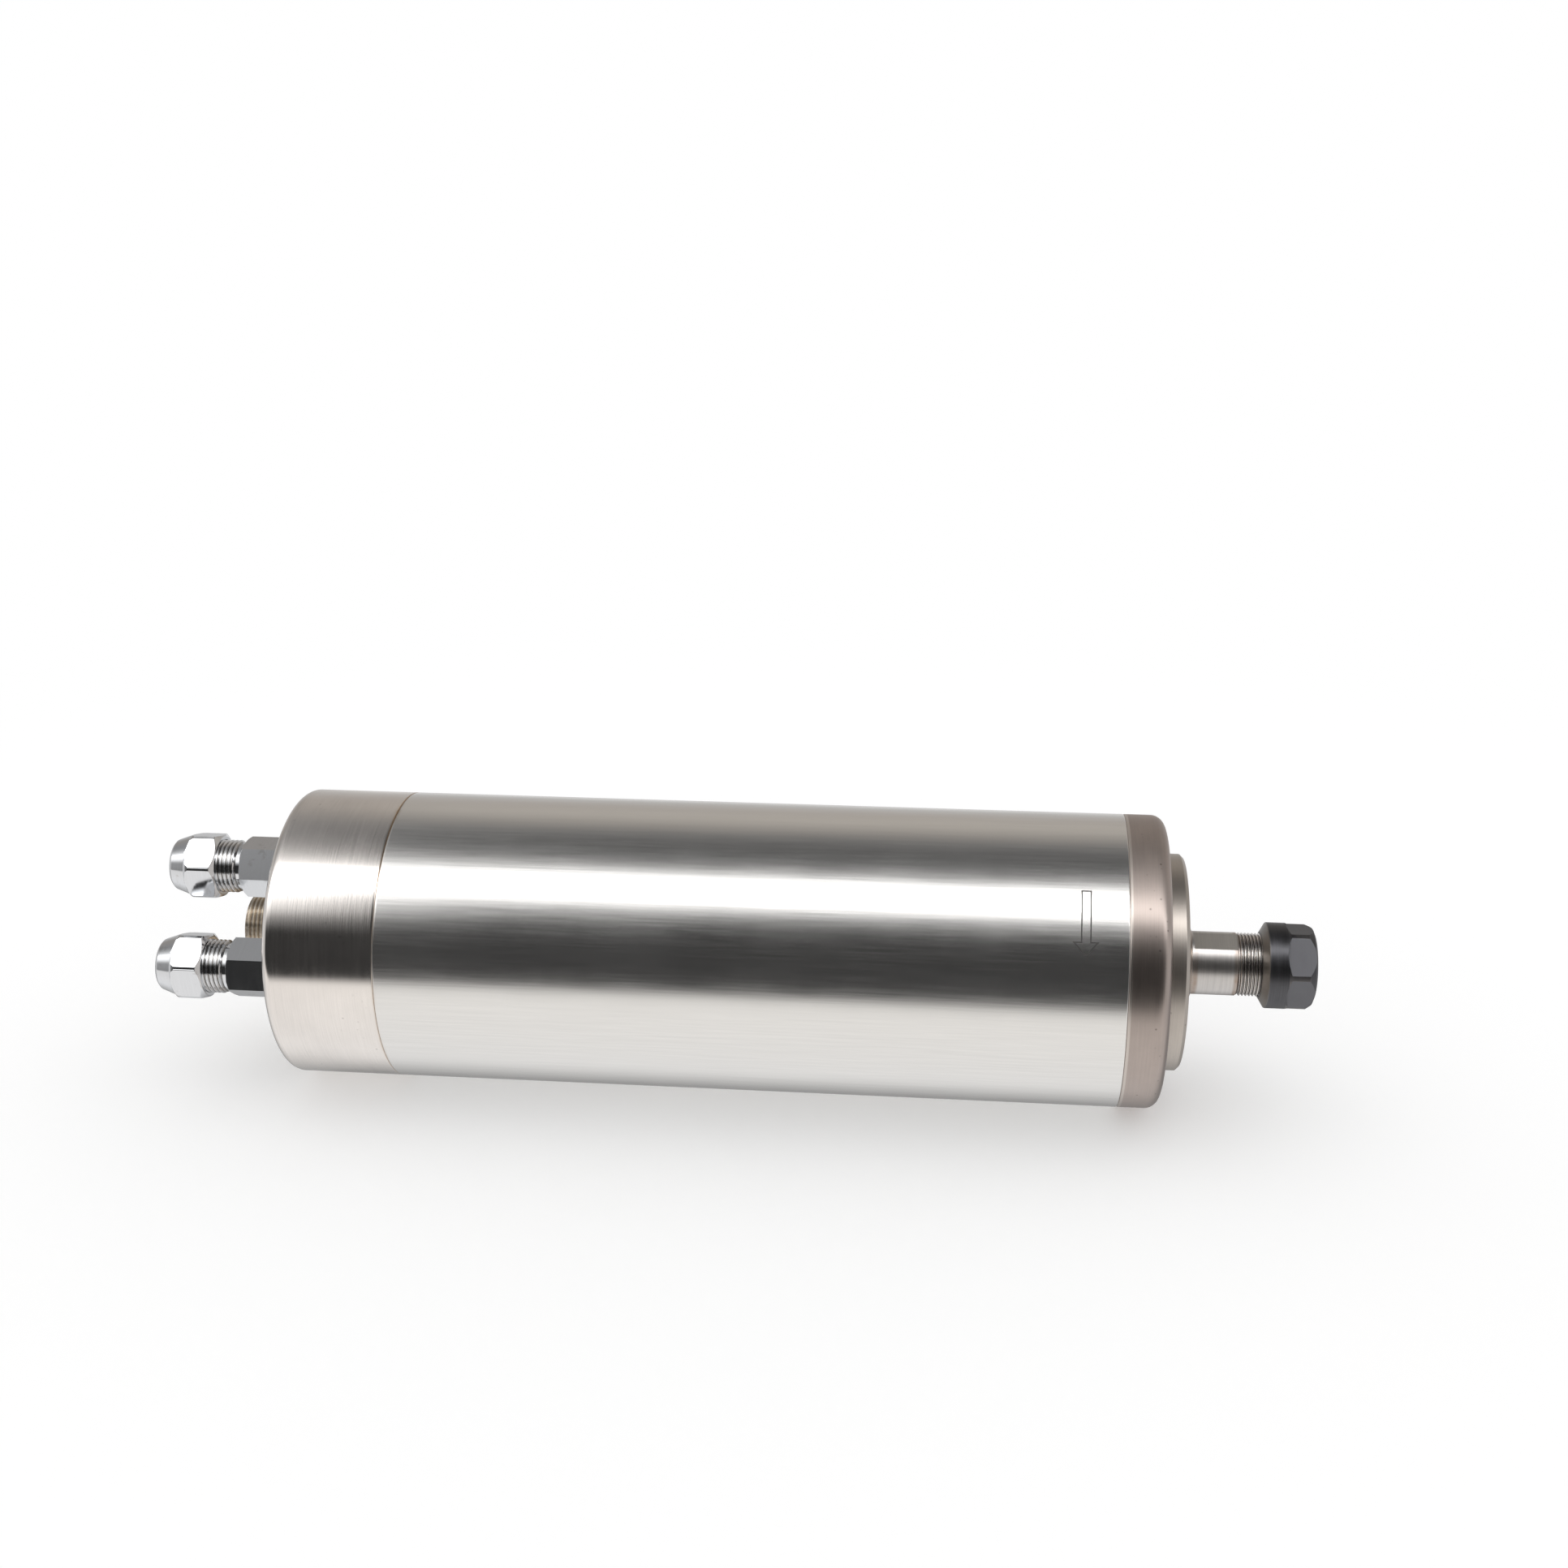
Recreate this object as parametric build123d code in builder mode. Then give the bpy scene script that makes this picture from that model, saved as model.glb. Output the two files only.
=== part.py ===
from build123d import *
import os
from math import atan2, degrees, radians, sqrt, tan

# Water-cooled motor spindle with an ER11 collet nose, as an assembly of separate pieces.
# The shaft axis is X, with +X to the nose and +Z up. The origin is on the shaft axis at the
# middle of the outer tube. Lengths are millimetres. Angles about the shaft run from +Y to +Z,
# and polar(radius, angle) gives the Y and Z of a point.

os.makedirs("parts", exist_ok=True)

# ---------------------------------------------------------------- driving dimensions
# casing
body_diameter = 65.0
tube_length = 161.0
tube_wall = 2.0
rear_cap_length = 25.0
front_cap_length = 9.0
rear_edge_round = 2.0
front_edge_round = 3.0
seam_bevel = 0.25

# clearances
seat_gap = 0.05  # radial, round pieces seated in one another
face_gap = 0.1  # axial, pieces that butt inside the casing
bore_gap = 0.1  # diameter-side room round a fastener or lead
air_gap = 0.3  # rotor in stator
thread_gap = 0.05  # radial, between a drawn thread and its nut
overrun = 1.0  # how far a cut runs on past what it cuts

# cooling jacket
jacket_wall = 4.5
channel_count = 8
channel_depth = 2.2
channel_arc = 26.0
channel_end_land = 14.0
crossover_width = 9.0
seal_width = 2.0
seal_depth = 1.5
seal_setback = 3.0
cap_spigot = 8.0

# bearing seats in the caps
bearing_lip = 2.2
lip_thickness = 3.0
rear_bearing_set = 1.0
rear_chamber_depth = 2.0
tail_room = 3.0
tail_end_room = 1.5

# stator
stator_length = 90.0
stator_centre = -2.0
slot_count = 18
slot_mouth = 1.2
slot_root_width = 2.2
slot_tip_width = 3.8
yoke_depth = 3.9
slot_lip = 1.3
slot_liner = 0.15
end_turn_length = 14.0
end_turn_inside = 1.2
end_turn_room = 1.85  # round the bundle, inside the jacket
end_turn_bevel = 2.0

# rotor
rotor_radius = 14.0
bar_count = 15
bar_width = 1.8
bar_depth = 2.8
bar_cover = 0.8
end_ring_length = 6.0
core_seat_radius = 8.5

# bearings: an angular-contact pair at the nose, one bearing behind
front_bearing_bore = 15.0
front_bearing_outer = 32.0
front_bearing_width = 9.0
front_bearing_count = 2
front_ball_count = 11
rear_bearing_bore = 12.0
rear_bearing_outer = 28.0
rear_bearing_width = 8.0
rear_ball_count = 9
ring_wall_share = 0.25
race_depth = 0.35
race_gap = 0.12
cage_thickness = 0.9
cage_width = 2.6

# shaft and nose
nose_radius = 7.0
rear_journal_overhang = 4.0
flat_width = 13.0
flat_start = 7.0
flat_length = 9.4
flat_angle = 111.0
shaft_nose_length = 27.8
collar_radius = 9.4
collar_length = 11.0
bore_relief_radius = 4.0
bore_relief_depth = 29.0
shaft_bevel = 0.5
rear_shoulder = 1.8
clip_set = 1.0
clip_slot = 1.2
clip_slot_depth = 0.5
clip_thickness = 1.0
clip_height = 1.9
clip_opening = 40.0
cage_seat_room = 1.2

# bearing cover and dust ring
cover_radius = 24.0
cover_thickness = 4.3
cover_edge_round = 0.8
boss_radius = 12.5
boss_end_radius = 9.6
boss_height = 1.7
dust_ring_radius = 8.0
dust_ring_length = 6.5
dust_ring_bevel = 0.5
labyrinth_gap = 0.3
cover_screw_circle = 19.0
cover_screw_angle = 45.0
cover_screw_length = 11.0

# screws
screw_count = 4
m4_radius = 2.0
m4_head_radius = 3.8
m4_socket = 2.5
m4_socket_depth = 1.3
rear_screw_set = 1.95  # from the jacket's bore to the screw's axis
rear_screw_radius = 1.25
rear_screw_head_radius = 2.25
rear_screw_head_height = 2.5
rear_screw_socket = 2.0
rear_screw_socket_depth = 1.3
rear_screw_reach = 7.0

# ER11 collet and nut
collet_length = 18.0
collet_bore = 6.35
collet_head_radius = 5.75
collet_face_radius = 4.7
collet_head_cone = 30.0
collet_head_land = 0.7
collet_groove_radius = 4.75
collet_groove_width = 2.0
collet_cone = 8.0
collet_cone_radius = 5.6
collet_slot = 0.6
collet_slots_each_way = 4
collet_slot_end = 3.0
collet_cone_start = 4.5
taper_gap = 0.05
nut_overhang = 5.6
nut_radius = 9.5
nut_length = 11.8
nut_flats = 17.0
nut_hex_length = 6.2
nut_back_radius = 7.3
nut_back_bevel = 1.3
nut_front_radius = 7.4
nut_shoulder_radius = 8.6
nut_shoulder_set = 0.5
nut_round_set = 1.8
nut_hex_angle = 148.0
nut_face_set = 0.3
nut_hook_gap = 0.25

# hose fittings, two, on the rear face
port_circle = 17.0
port_middle_angle = 148.0
port_half_angle = 43.0
port_thread_radius = 5.0
port_thread_length = 8.0
port_hole_depth = 9.0
port_washer_radius = 6.4
port_washer_thickness = 1.0
fitting_flats = 12.0
fitting_hex_end = 11.8
fitting_hex_bevel = 0.4
fitting_hex_bevel_height = 0.6
fitting_neck_radius = 5.3
fitting_neck_length = 1.2
fitting_thread_radius = 6.0
fitting_end = 22.3
fitting_bore_radius = 3.0
fitting_stop = 14.0
hose_radius = 4.0
hose_gap = 0.15
mouth_radius = 5.2
mouth_depth = 1.4
body_hex_angles = {"a": 156.3, "b": 176.0}
hose_nut_angles = {"a": 138.0, "b": 134.6}
ferrule_radius = 5.05
ferrule_length = 4.8
ferrule_nose = 1.0
ferrule_bevel = 1.0
ferrule_lip = 0.3
ferrule_gap = 0.15
nut_cavity_start = 0.8
hose_nut_flats = 14.0
hose_nut_radius = 7.8
hose_nut_start = 17.3
hose_nut_length = 11.1
hose_nut_nose_length = 4.8
hose_nut_tip_radius = 5.3
hose_nut_waist_radius = 7.0
hose_nut_back_bevel = 0.9
hose_nut_back_radius = 6.7
water_passage_radius = 1.75

# connector
connector_circle = 14.9
connector_angle = 340.0
connector_thread_radius = 8.0
connector_shank_length = 10.0
connector_hole_depth = 12.0
connector_gasket_thickness = 0.8
connector_flange_radius = 9.5
connector_flange_thickness = 3.0
connector_neck_radius = 7.4
connector_neck_length = 1.6
connector_end = 18.5
connector_flat_angle = 211.0
connector_flat_width = 15.45
connector_cavity_radius = 6.8
connector_cavity_depth = 9.0
connector_edge_bevel = 0.4
insert_shoulder = 0.8
insert_thickness = 6.0
pin_count = 4
pin_circle = 3.3
pin_radius = 0.95
pin_reach = 7.0
pin_tail = 12.0
key_width = 1.6
key_height = 1.0
key_angle = 45.0
key_set = 1.0
pin_bevel = 0.3
lead_radius = 0.8
lead_circle = 20.0

# ---------------------------------------------------------------- places worked out
body_radius = body_diameter / 2
front_seam = tube_length / 2
rear_seam = -front_seam
front_face = front_seam + front_cap_length
rear_face = rear_seam - rear_cap_length
jacket_outer = body_radius - tube_wall - seat_gap
jacket_inner = jacket_outer - jacket_wall
spigot_radius = jacket_inner - seat_gap
stator_radius = jacket_inner - seat_gap
stator_bore = rotor_radius + air_gap
stator_start = stator_centre - stator_length / 2
stator_end = stator_centre + stator_length / 2
port_angles = {
    "a": port_middle_angle - port_half_angle,
    "b": port_middle_angle + port_half_angle,
}
rear_screw_circle = jacket_inner + rear_screw_set
seal_floor = spigot_radius - seal_depth
seal_starts = (rear_seam + seal_setback, front_seam - seal_setback - seal_width)
front_seat_start = front_face - front_bearing_count * front_bearing_width - face_gap
front_cap_back = front_seat_start - lip_thickness
rear_bearing_front = rear_seam + cap_spigot - rear_bearing_set
rear_bearing_back = rear_bearing_front - rear_bearing_width
shaft_end = front_face + shaft_nose_length
nut_front = shaft_end + nut_overhang
nut_back = nut_front - nut_length
collet_front = nut_front - nut_face_set
connector_centre = polar(connector_circle, connector_angle)
insert_face = connector_end - connector_cavity_depth
pin_front = insert_face + pin_reach
pin_back = insert_face - pin_tail
coil_face = stator_start - air_gap - end_turn_length


# ---------------------------------------------------------------- helpers
def outline(*points, plane=Plane.XY):
    """Face inside straight lines through (along the axis, radius) points."""
    with BuildSketch(plane) as face:
        with BuildLine():
            Polyline(*points, close=True)
        make_face()
    return face.sketch


def ring(start, end, inner, outer, plane=Plane.XY):
    """Half section of a plain ring."""
    return outline((start, inner), (end, inner), (end, outer), (start, outer), plane=plane)


def across(x):
    """Plane square to the shaft, its own axes along +Y and +Z."""
    return Plane.YZ.offset(x)


def rims(solid, x, radius):
    """Circular edges of this radius, centred on this place along X."""
    circles = solid.edges().filter_by(GeomType.CIRCLE)
    return [e for e in circles if abs(e.arc_center.X - x) < 1e-4 and abs(e.radius - radius) < 1e-4]


def rear_plane(radius, angle):
    """Plane through a point of the rear face, its x axis pointing out of the face."""
    return Plane(origin=(rear_face, *polar(radius, angle)), x_dir=(-1, 0, 0), z_dir=(0, 1, 0))


def rear_axis(radius, angle):
    """Line out of the rear face through a point of it."""
    return Axis((rear_face, *polar(radius, angle)), (-1, 0, 0))


def flats(x, centre, across_flats, angle, outside):
    """What a hexagon leaves of a disc, on a plane square to the shaft."""
    with BuildSketch(across(x)) as waste:
        with Locations(Location(centre, angle + 30)):
            Circle(outside)
            RegularPolygon(across_flats / 2, 6, major_radius=False, mode=Mode.SUBTRACT)
    return waste.sketch


def lead_way(pin_angle):
    """Where a lead starts, behind its pin, and its straight way to the coils."""
    y, z = (at + off for at, off in zip(connector_centre, polar(pin_circle, pin_angle)))
    start = Vector(rear_face - pin_back, y, z)
    return start, Vector(coil_face, *polar(lead_circle, degrees(atan2(z, y)))) - start


# the pin nearest the shaft is the spare one
lead_ways = [lead_way(angle) for angle in (-90, 0, 90)]

# ---------------------------------------------------------------- casing
with BuildPart() as outer_tube:
    inner = body_radius - tube_wall
    revolve(
        outline(
            (rear_seam, inner),
            (front_seam, inner),
            (front_seam, body_radius - seam_bevel),
            (front_seam - seam_bevel, body_radius),
            (rear_seam + seam_bevel, body_radius),
            (rear_seam, body_radius - seam_bevel),
        ),
        axis=Axis.X,
    )

with BuildPart() as cooling_jacket:
    # a sleeve with lengthwise channels, joined in turn at the nose end and the rear end
    jacket_start = rear_seam + face_gap
    jacket_end = front_seam - face_gap
    revolve(ring(jacket_start, jacket_end, jacket_inner, jacket_outer), axis=Axis.X)
    channel_pitch = (360 - 2 * port_half_angle) / (channel_count - 1)
    channel_floor = jacket_outer - channel_depth
    first_angle = port_angles["a"]
    for number in range(channel_count):
        middle = first_angle - number * channel_pitch
        at_port = number in (0, channel_count - 1)
        start = jacket_start if at_port else rear_seam + channel_end_land
        groove = ring(start, front_seam - channel_end_land, channel_floor, body_radius)
        opening = Plane.XY.rotated((middle - channel_arc / 2, 0, 0))
        revolve(opening * groove, Axis.X, revolution_arc=channel_arc, mode=Mode.SUBTRACT)
    for number in range(channel_count - 1):
        middle = first_angle - (number + 0.5) * channel_pitch
        if number % 2:
            start = rear_seam + channel_end_land
        else:
            start = front_seam - channel_end_land - crossover_width
        groove = ring(start, start + crossover_width, channel_floor, body_radius)
        opening = Plane.XY.rotated((middle - channel_pitch / 2, 0, 0))
        revolve(opening * groove, Axis.X, revolution_arc=channel_pitch, mode=Mode.SUBTRACT)
    with BuildSketch(across(jacket_start)):
        with PolarLocations(rear_screw_circle, screw_count, port_middle_angle):
            Circle(rear_screw_radius + bore_gap / 2)
    extrude(amount=rear_screw_reach + overrun, mode=Mode.SUBTRACT)

with BuildPart() as jacket_seals:
    # one ring in the groove of each cap's spigot, against the bore of the jacket
    for start in seal_starts:
        section = ring(start + face_gap, start + seal_width - face_gap, seal_floor + seat_gap,
                       jacket_inner)
        revolve(section, axis=Axis.X)

with BuildPart() as front_cap:
    # nose plate with the bearing bore, and a spigot into the jacket
    bearing_bore = front_bearing_outer / 2 + seat_gap
    lip = front_bearing_outer / 2 - bearing_lip
    revolve(
        outline(
            (front_cap_back, lip),
            (front_seat_start, lip),
            (front_seat_start, bearing_bore),
            (front_face, bearing_bore),
            (front_face, body_radius),
            (front_seam + seam_bevel, body_radius),
            (front_seam, body_radius - seam_bevel),
            (front_seam, spigot_radius),
            (front_cap_back, spigot_radius),
        ),
        axis=Axis.X,
    )
    groove = ring(seal_starts[1], seal_starts[1] + seal_width, seal_floor, spigot_radius + overrun)
    revolve(groove, axis=Axis.X, mode=Mode.SUBTRACT)
    fillet(rims(front_cap, front_face, body_radius), front_edge_round)
    with BuildSketch(across(front_face)):
        with PolarLocations(cover_screw_circle, screw_count, cover_screw_angle):
            Circle(m4_radius + bore_gap / 2)
    extrude(amount=cover_thickness - cover_screw_length - overrun, mode=Mode.SUBTRACT)

with BuildPart() as rear_cap:
    # rear plate with the rear bearing, the water ports and the wiring chamber
    bearing_bore = rear_bearing_outer / 2 + seat_gap
    pocket_floor = rear_bearing_back - rear_chamber_depth
    tail_radius = rear_bearing_bore / 2 + tail_room
    tail_floor = rear_bearing_back - rear_journal_overhang - tail_end_room
    revolve(
        outline(
            (rear_face, 0),
            (tail_floor, 0),
            (tail_floor, tail_radius),
            (pocket_floor, tail_radius),
            (pocket_floor, bearing_bore),
            (rear_seam + cap_spigot, bearing_bore),
            (rear_seam + cap_spigot, spigot_radius),
            (rear_seam, spigot_radius),
            (rear_seam, body_radius - seam_bevel),
            (rear_seam - seam_bevel, body_radius),
            (rear_face, body_radius),
        ),
        axis=Axis.X,
    )
    groove = ring(seal_starts[0], seal_starts[0] + seal_width, seal_floor, spigot_radius + overrun)
    revolve(groove, axis=Axis.X, mode=Mode.SUBTRACT)
    fillet(rims(rear_cap, rear_face, body_radius), rear_edge_round)
    with BuildSketch(across(rear_face)):
        for angle in port_angles.values():
            with Locations(polar(port_circle, angle)):
                Circle(port_thread_radius + thread_gap)
    extrude(amount=port_hole_depth, mode=Mode.SUBTRACT)
    with BuildSketch(across(rear_face)):
        with Locations(polar(connector_circle, connector_angle)):
            Circle(connector_thread_radius + thread_gap)
    extrude(amount=connector_hole_depth, mode=Mode.SUBTRACT)
    with BuildSketch(across(rear_face)):
        with PolarLocations(rear_screw_circle, screw_count, port_middle_angle):
            Circle(rear_screw_head_radius + bore_gap)
    extrude(amount=rear_screw_head_height + bore_gap, mode=Mode.SUBTRACT)
    with BuildSketch(across(rear_face)):
        with PolarLocations(rear_screw_circle, screw_count, port_middle_angle):
            Circle(rear_screw_radius + bore_gap)
    extrude(amount=rear_cap_length, mode=Mode.SUBTRACT)
    # slanted ways: water from each port to its channel, and a lead from each live pin to the coils
    for angle in port_angles.values():
        first = Vector(rear_face + port_hole_depth - overrun, *polar(port_circle, angle))
        way = Vector(rear_seam, *polar(jacket_outer - channel_depth / 2, angle)) - first
        with BuildSketch(Plane(origin=first, z_dir=way)):
            Circle(water_passage_radius)
        extrude(amount=way.length + overrun, mode=Mode.SUBTRACT)
    for first, way in lead_ways:
        with BuildSketch(across(first.X)):
            with Locations((first.Y, first.Z)):
                Circle(lead_radius + bore_gap)
        extrude(amount=way.length, dir=way, mode=Mode.SUBTRACT)

with BuildPart() as rear_cap_screws:
    # socket-head screws through the rear cap into the end of the jacket
    head_floor = rear_face + rear_screw_head_height
    with BuildSketch(across(rear_face)):
        with PolarLocations(rear_screw_circle, screw_count, port_middle_angle):
            Circle(rear_screw_head_radius)
    extrude(amount=rear_screw_head_height)
    with BuildSketch(across(head_floor)):
        with PolarLocations(rear_screw_circle, screw_count, port_middle_angle):
            Circle(rear_screw_radius)
    extrude(amount=rear_seam + rear_screw_reach - head_floor)
    with BuildSketch(across(rear_face)):
        with PolarLocations(rear_screw_circle, screw_count, port_middle_angle):
            RegularPolygon(rear_screw_socket / 2, 6, major_radius=False)
    extrude(amount=rear_screw_socket_depth, mode=Mode.SUBTRACT)

# ---------------------------------------------------------------- bearing cover
cover_face = front_face + cover_thickness
cover_bore = dust_ring_radius + labyrinth_gap

with BuildPart() as front_bearing_cover:
    # round flange over the bearings, rising in a low cone round the dust ring
    revolve(
        outline(
            (front_face, cover_bore),
            (cover_face + boss_height, cover_bore),
            (cover_face + boss_height, boss_end_radius),
            (cover_face, boss_radius),
            (cover_face, cover_radius),
            (front_face, cover_radius),
        ),
        axis=Axis.X,
    )
    chamfer(rims(front_bearing_cover, cover_face, cover_radius), cover_edge_round)
    with Locations(across(cover_face)):
        with PolarLocations(cover_screw_circle, screw_count, cover_screw_angle):
            CounterSinkHole(m4_radius + bore_gap, m4_head_radius + bore_gap, counter_sink_angle=90)

with BuildPart() as cover_screws:
    # countersunk socket screws, flush with the cover
    shank_start = cover_face - cover_screw_length
    for number in range(screw_count):
        centre = polar(cover_screw_circle, cover_screw_angle + number * 360 / screw_count)
        along = Plane(origin=(shank_start, *centre), x_dir=(1, 0, 0), z_dir=(0, 1, 0))
        revolve(
            outline(
                (0, 0),
                (0, m4_radius),
                (cover_screw_length - m4_head_radius + m4_radius, m4_radius),
                (cover_screw_length, m4_head_radius),
                (cover_screw_length, 0),
                plane=along,
            ),
            axis=Axis(along.origin, (1, 0, 0)),
        )
    with BuildSketch(across(cover_face)):
        with PolarLocations(cover_screw_circle, screw_count, cover_screw_angle):
            RegularPolygon(m4_socket / 2, 6, major_radius=False)
    extrude(amount=-m4_socket_depth, mode=Mode.SUBTRACT)

# ---------------------------------------------------------------- stator
with BuildPart() as stator_core:
    # a stack of laminations with slots that open to the bore
    revolve(ring(stator_start, stator_end, stator_bore, stator_radius), axis=Axis.X)
    slot_root = stator_bore + slot_lip
    slot_bottom = stator_radius - yoke_depth
    with BuildSketch(across(stator_start)):
        with PolarLocations(0, slot_count):
            with BuildLine():
                Polyline(
                    (stator_bore - overrun, -slot_mouth / 2),
                    (slot_root, -slot_mouth / 2),
                    (slot_root, -slot_root_width / 2),
                    (slot_bottom, -slot_tip_width / 2),
                    (slot_bottom, slot_tip_width / 2),
                    (slot_root, slot_root_width / 2),
                    (slot_root, slot_mouth / 2),
                    (stator_bore - overrun, slot_mouth / 2),
                    close=True,
                )
            make_face()
    extrude(amount=stator_length, mode=Mode.SUBTRACT)

with BuildPart() as stator_windings:
    # the coils: their sides fill the slots, and their ends make a bundle at each end
    coil_inside = slot_root + slot_liner
    coil_outside = slot_bottom - slot_liner
    with BuildSketch(across(stator_start - air_gap)):
        with PolarLocations(0, slot_count):
            with BuildLine():
                Polyline(
                    (coil_inside, -slot_root_width / 2 + slot_liner),
                    (coil_outside, -slot_tip_width / 2 + slot_liner),
                    (coil_outside, slot_tip_width / 2 - slot_liner),
                    (coil_inside, slot_root_width / 2 - slot_liner),
                    close=True,
                )
            make_face()
    extrude(amount=stator_length + 2 * air_gap)
    bundle_inside = stator_bore + end_turn_inside
    bundle_outside = jacket_inner - end_turn_room
    for face, way in ((stator_start - air_gap, -1), (stator_end + air_gap, 1)):
        revolve(
            outline(
                (face, bundle_inside),
                (face + way * end_turn_length, bundle_inside),
                (face + way * end_turn_length, bundle_outside - end_turn_bevel),
                (face + way * (end_turn_length - end_turn_bevel), bundle_outside),
                (face, bundle_outside),
            ),
            axis=Axis.X,
        )

# ---------------------------------------------------------------- rotor
with BuildPart() as rotor_core:
    # laminations on the shaft, pierced for the bars of the cage
    core_bore = core_seat_radius + seat_gap
    revolve(ring(stator_start, stator_end, core_bore, rotor_radius), axis=Axis.X)
    bar_middle = rotor_radius - bar_cover - bar_depth / 2
    with BuildSketch(across(stator_start)):
        with PolarLocations(bar_middle, bar_count):
            Rectangle(bar_depth, bar_width)
    extrude(amount=stator_length, mode=Mode.SUBTRACT)

with BuildPart() as rotor_cage:
    # cast bars with a ring at each end that shorts them together
    with BuildSketch(across(stator_start - air_gap)):
        with PolarLocations(bar_middle, bar_count):
            Rectangle(bar_depth - 2 * seat_gap, bar_width - 2 * seat_gap)
    extrude(amount=stator_length + 2 * air_gap)
    ring_inner = core_seat_radius + cage_seat_room
    for start in (stator_start - end_ring_length, stator_end):
        revolve(ring(start, start + end_ring_length, ring_inner, rotor_radius - air_gap), axis=Axis.X)


def inner_wall(bore, outer):
    """Radius of an inner ring's shoulder."""
    return bore / 2 + ring_wall_share * (outer - bore) / 2


def outer_wall(bore, outer):
    """Radius of an outer ring's shoulder."""
    return outer / 2 - ring_wall_share * (outer - bore) / 2


collet_big = collet_front - collet_cone_start
collet_small = collet_front - collet_length
cone_slope = tan(radians(collet_cone))


def collet_radius(x):
    """Radius of the collet's long cone at this place."""
    return collet_cone_radius - (collet_big - x) * cone_slope


with BuildPart() as shaft:
    # one turned piece: rear journal, core seat, collar, bearing seat, and the nose with its taper
    front_seat = front_bearing_bore / 2
    rear_seat = rear_bearing_bore / 2
    clip_front = rear_bearing_back - clip_set
    clip_back = clip_front - clip_slot
    rear_end = rear_bearing_back - rear_journal_overhang
    cage_back = stator_start - end_ring_length
    relief_start = collet_big - (collet_cone_radius + taper_gap - bore_relief_radius) / cone_slope
    bearing_stop = front_seat_start + face_gap
    revolve(
        outline(
            (rear_end, 0),
            (rear_end, rear_seat - shaft_bevel),
            (rear_end + shaft_bevel, rear_seat),
            (clip_back, rear_seat),
            (clip_back, rear_seat - clip_slot_depth),
            (clip_front, rear_seat - clip_slot_depth),
            (clip_front, rear_seat),
            (rear_bearing_front, rear_seat),
            (rear_bearing_front, rear_seat + rear_shoulder),
            (cage_back, rear_seat + rear_shoulder),
            (cage_back, core_seat_radius),
            (bearing_stop - collar_length, core_seat_radius),
            (bearing_stop - collar_length, collar_radius),
            (bearing_stop, collar_radius),
            (bearing_stop, front_seat),
            (front_face, front_seat),
            (front_face, nose_radius),
            (shaft_end - shaft_bevel, nose_radius),
            (shaft_end, nose_radius - shaft_bevel),
            (shaft_end, collet_radius(shaft_end) + taper_gap),
            (relief_start, bore_relief_radius),
            (shaft_end - bore_relief_depth, bore_relief_radius),
            (shaft_end - bore_relief_depth - bore_relief_radius / 2, 0),
        ),
        axis=Axis.X,
    )
    # two wrench flats behind the thread
    with BuildSketch(across(front_face + flat_start)):
        Circle(nose_radius + overrun)
        with Locations(Location((0, 0), flat_angle)):
            Rectangle(flat_width, 4 * nose_radius, mode=Mode.SUBTRACT)
    extrude(amount=flat_length, mode=Mode.SUBTRACT)

with BuildPart() as rear_circlip:
    # open ring in the groove behind the rear bearing
    clip_start = clip_back + face_gap
    clip_inner = rear_seat - clip_slot_depth + seat_gap
    clip = ring(clip_start, clip_start + clip_thickness, clip_inner, clip_inner + clip_height)
    revolve(Plane.XY.rotated((clip_opening / 2, 0, 0)) * clip, Axis.X,
            revolution_arc=360 - clip_opening)


# ---------------------------------------------------------------- bearings
def outer_ring(start, width, bore, outer):
    """Half section of an outer bearing ring, with a shallow race."""
    wall = outer_wall(bore, outer)
    return outline(
        (start, wall),
        (start + width / 2, wall + race_depth),
        (start + width, wall),
        (start + width, outer / 2),
        (start, outer / 2),
    )


def inner_ring(start, width, bore, outer):
    """Half section of an inner bearing ring, with a shallow race."""
    wall = inner_wall(bore, outer)
    return outline(
        (start, bore / 2 + seat_gap),
        (start + width, bore / 2 + seat_gap),
        (start + width, wall),
        (start + width / 2, wall - race_depth),
        (start, wall),
    )


def faceted_ball(bore, outer):
    """A ball with 26 flats that just clears both races."""
    room = (outer_wall(bore, outer) - inner_wall(bore, outer)) / 2 + race_depth
    half = (room - race_gap) / sqrt(1 + 2 * (sqrt(2) - 1) ** 2)
    with BuildPart() as ball:
        Box(2 * half, 2 * half, 2 * half)
        chamfer(ball.edges(), half * (2 - sqrt(2)))
    return ball.part


front_starts = [front_face - (n + 1) * front_bearing_width for n in range(front_bearing_count)]
front_pitch = (front_bearing_bore + front_bearing_outer) / 4
rear_pitch = (rear_bearing_bore + rear_bearing_outer) / 4

with BuildPart() as front_bearing_outer_rings:
    for start in front_starts:
        section = outer_ring(start + face_gap / 2, front_bearing_width - face_gap, front_bearing_bore,
                             front_bearing_outer)
        revolve(section, axis=Axis.X)

with BuildPart() as front_bearing_inner_rings:
    for start in front_starts:
        section = inner_ring(start + face_gap / 2, front_bearing_width - face_gap, front_bearing_bore,
                             front_bearing_outer)
        revolve(section, axis=Axis.X)

with BuildPart() as rear_bearing_outer_ring:
    revolve(outer_ring(rear_bearing_back, rear_bearing_width, rear_bearing_bore, rear_bearing_outer),
            axis=Axis.X)

with BuildPart() as rear_bearing_inner_ring:
    revolve(inner_ring(rear_bearing_back, rear_bearing_width, rear_bearing_bore, rear_bearing_outer),
            axis=Axis.X)

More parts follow.
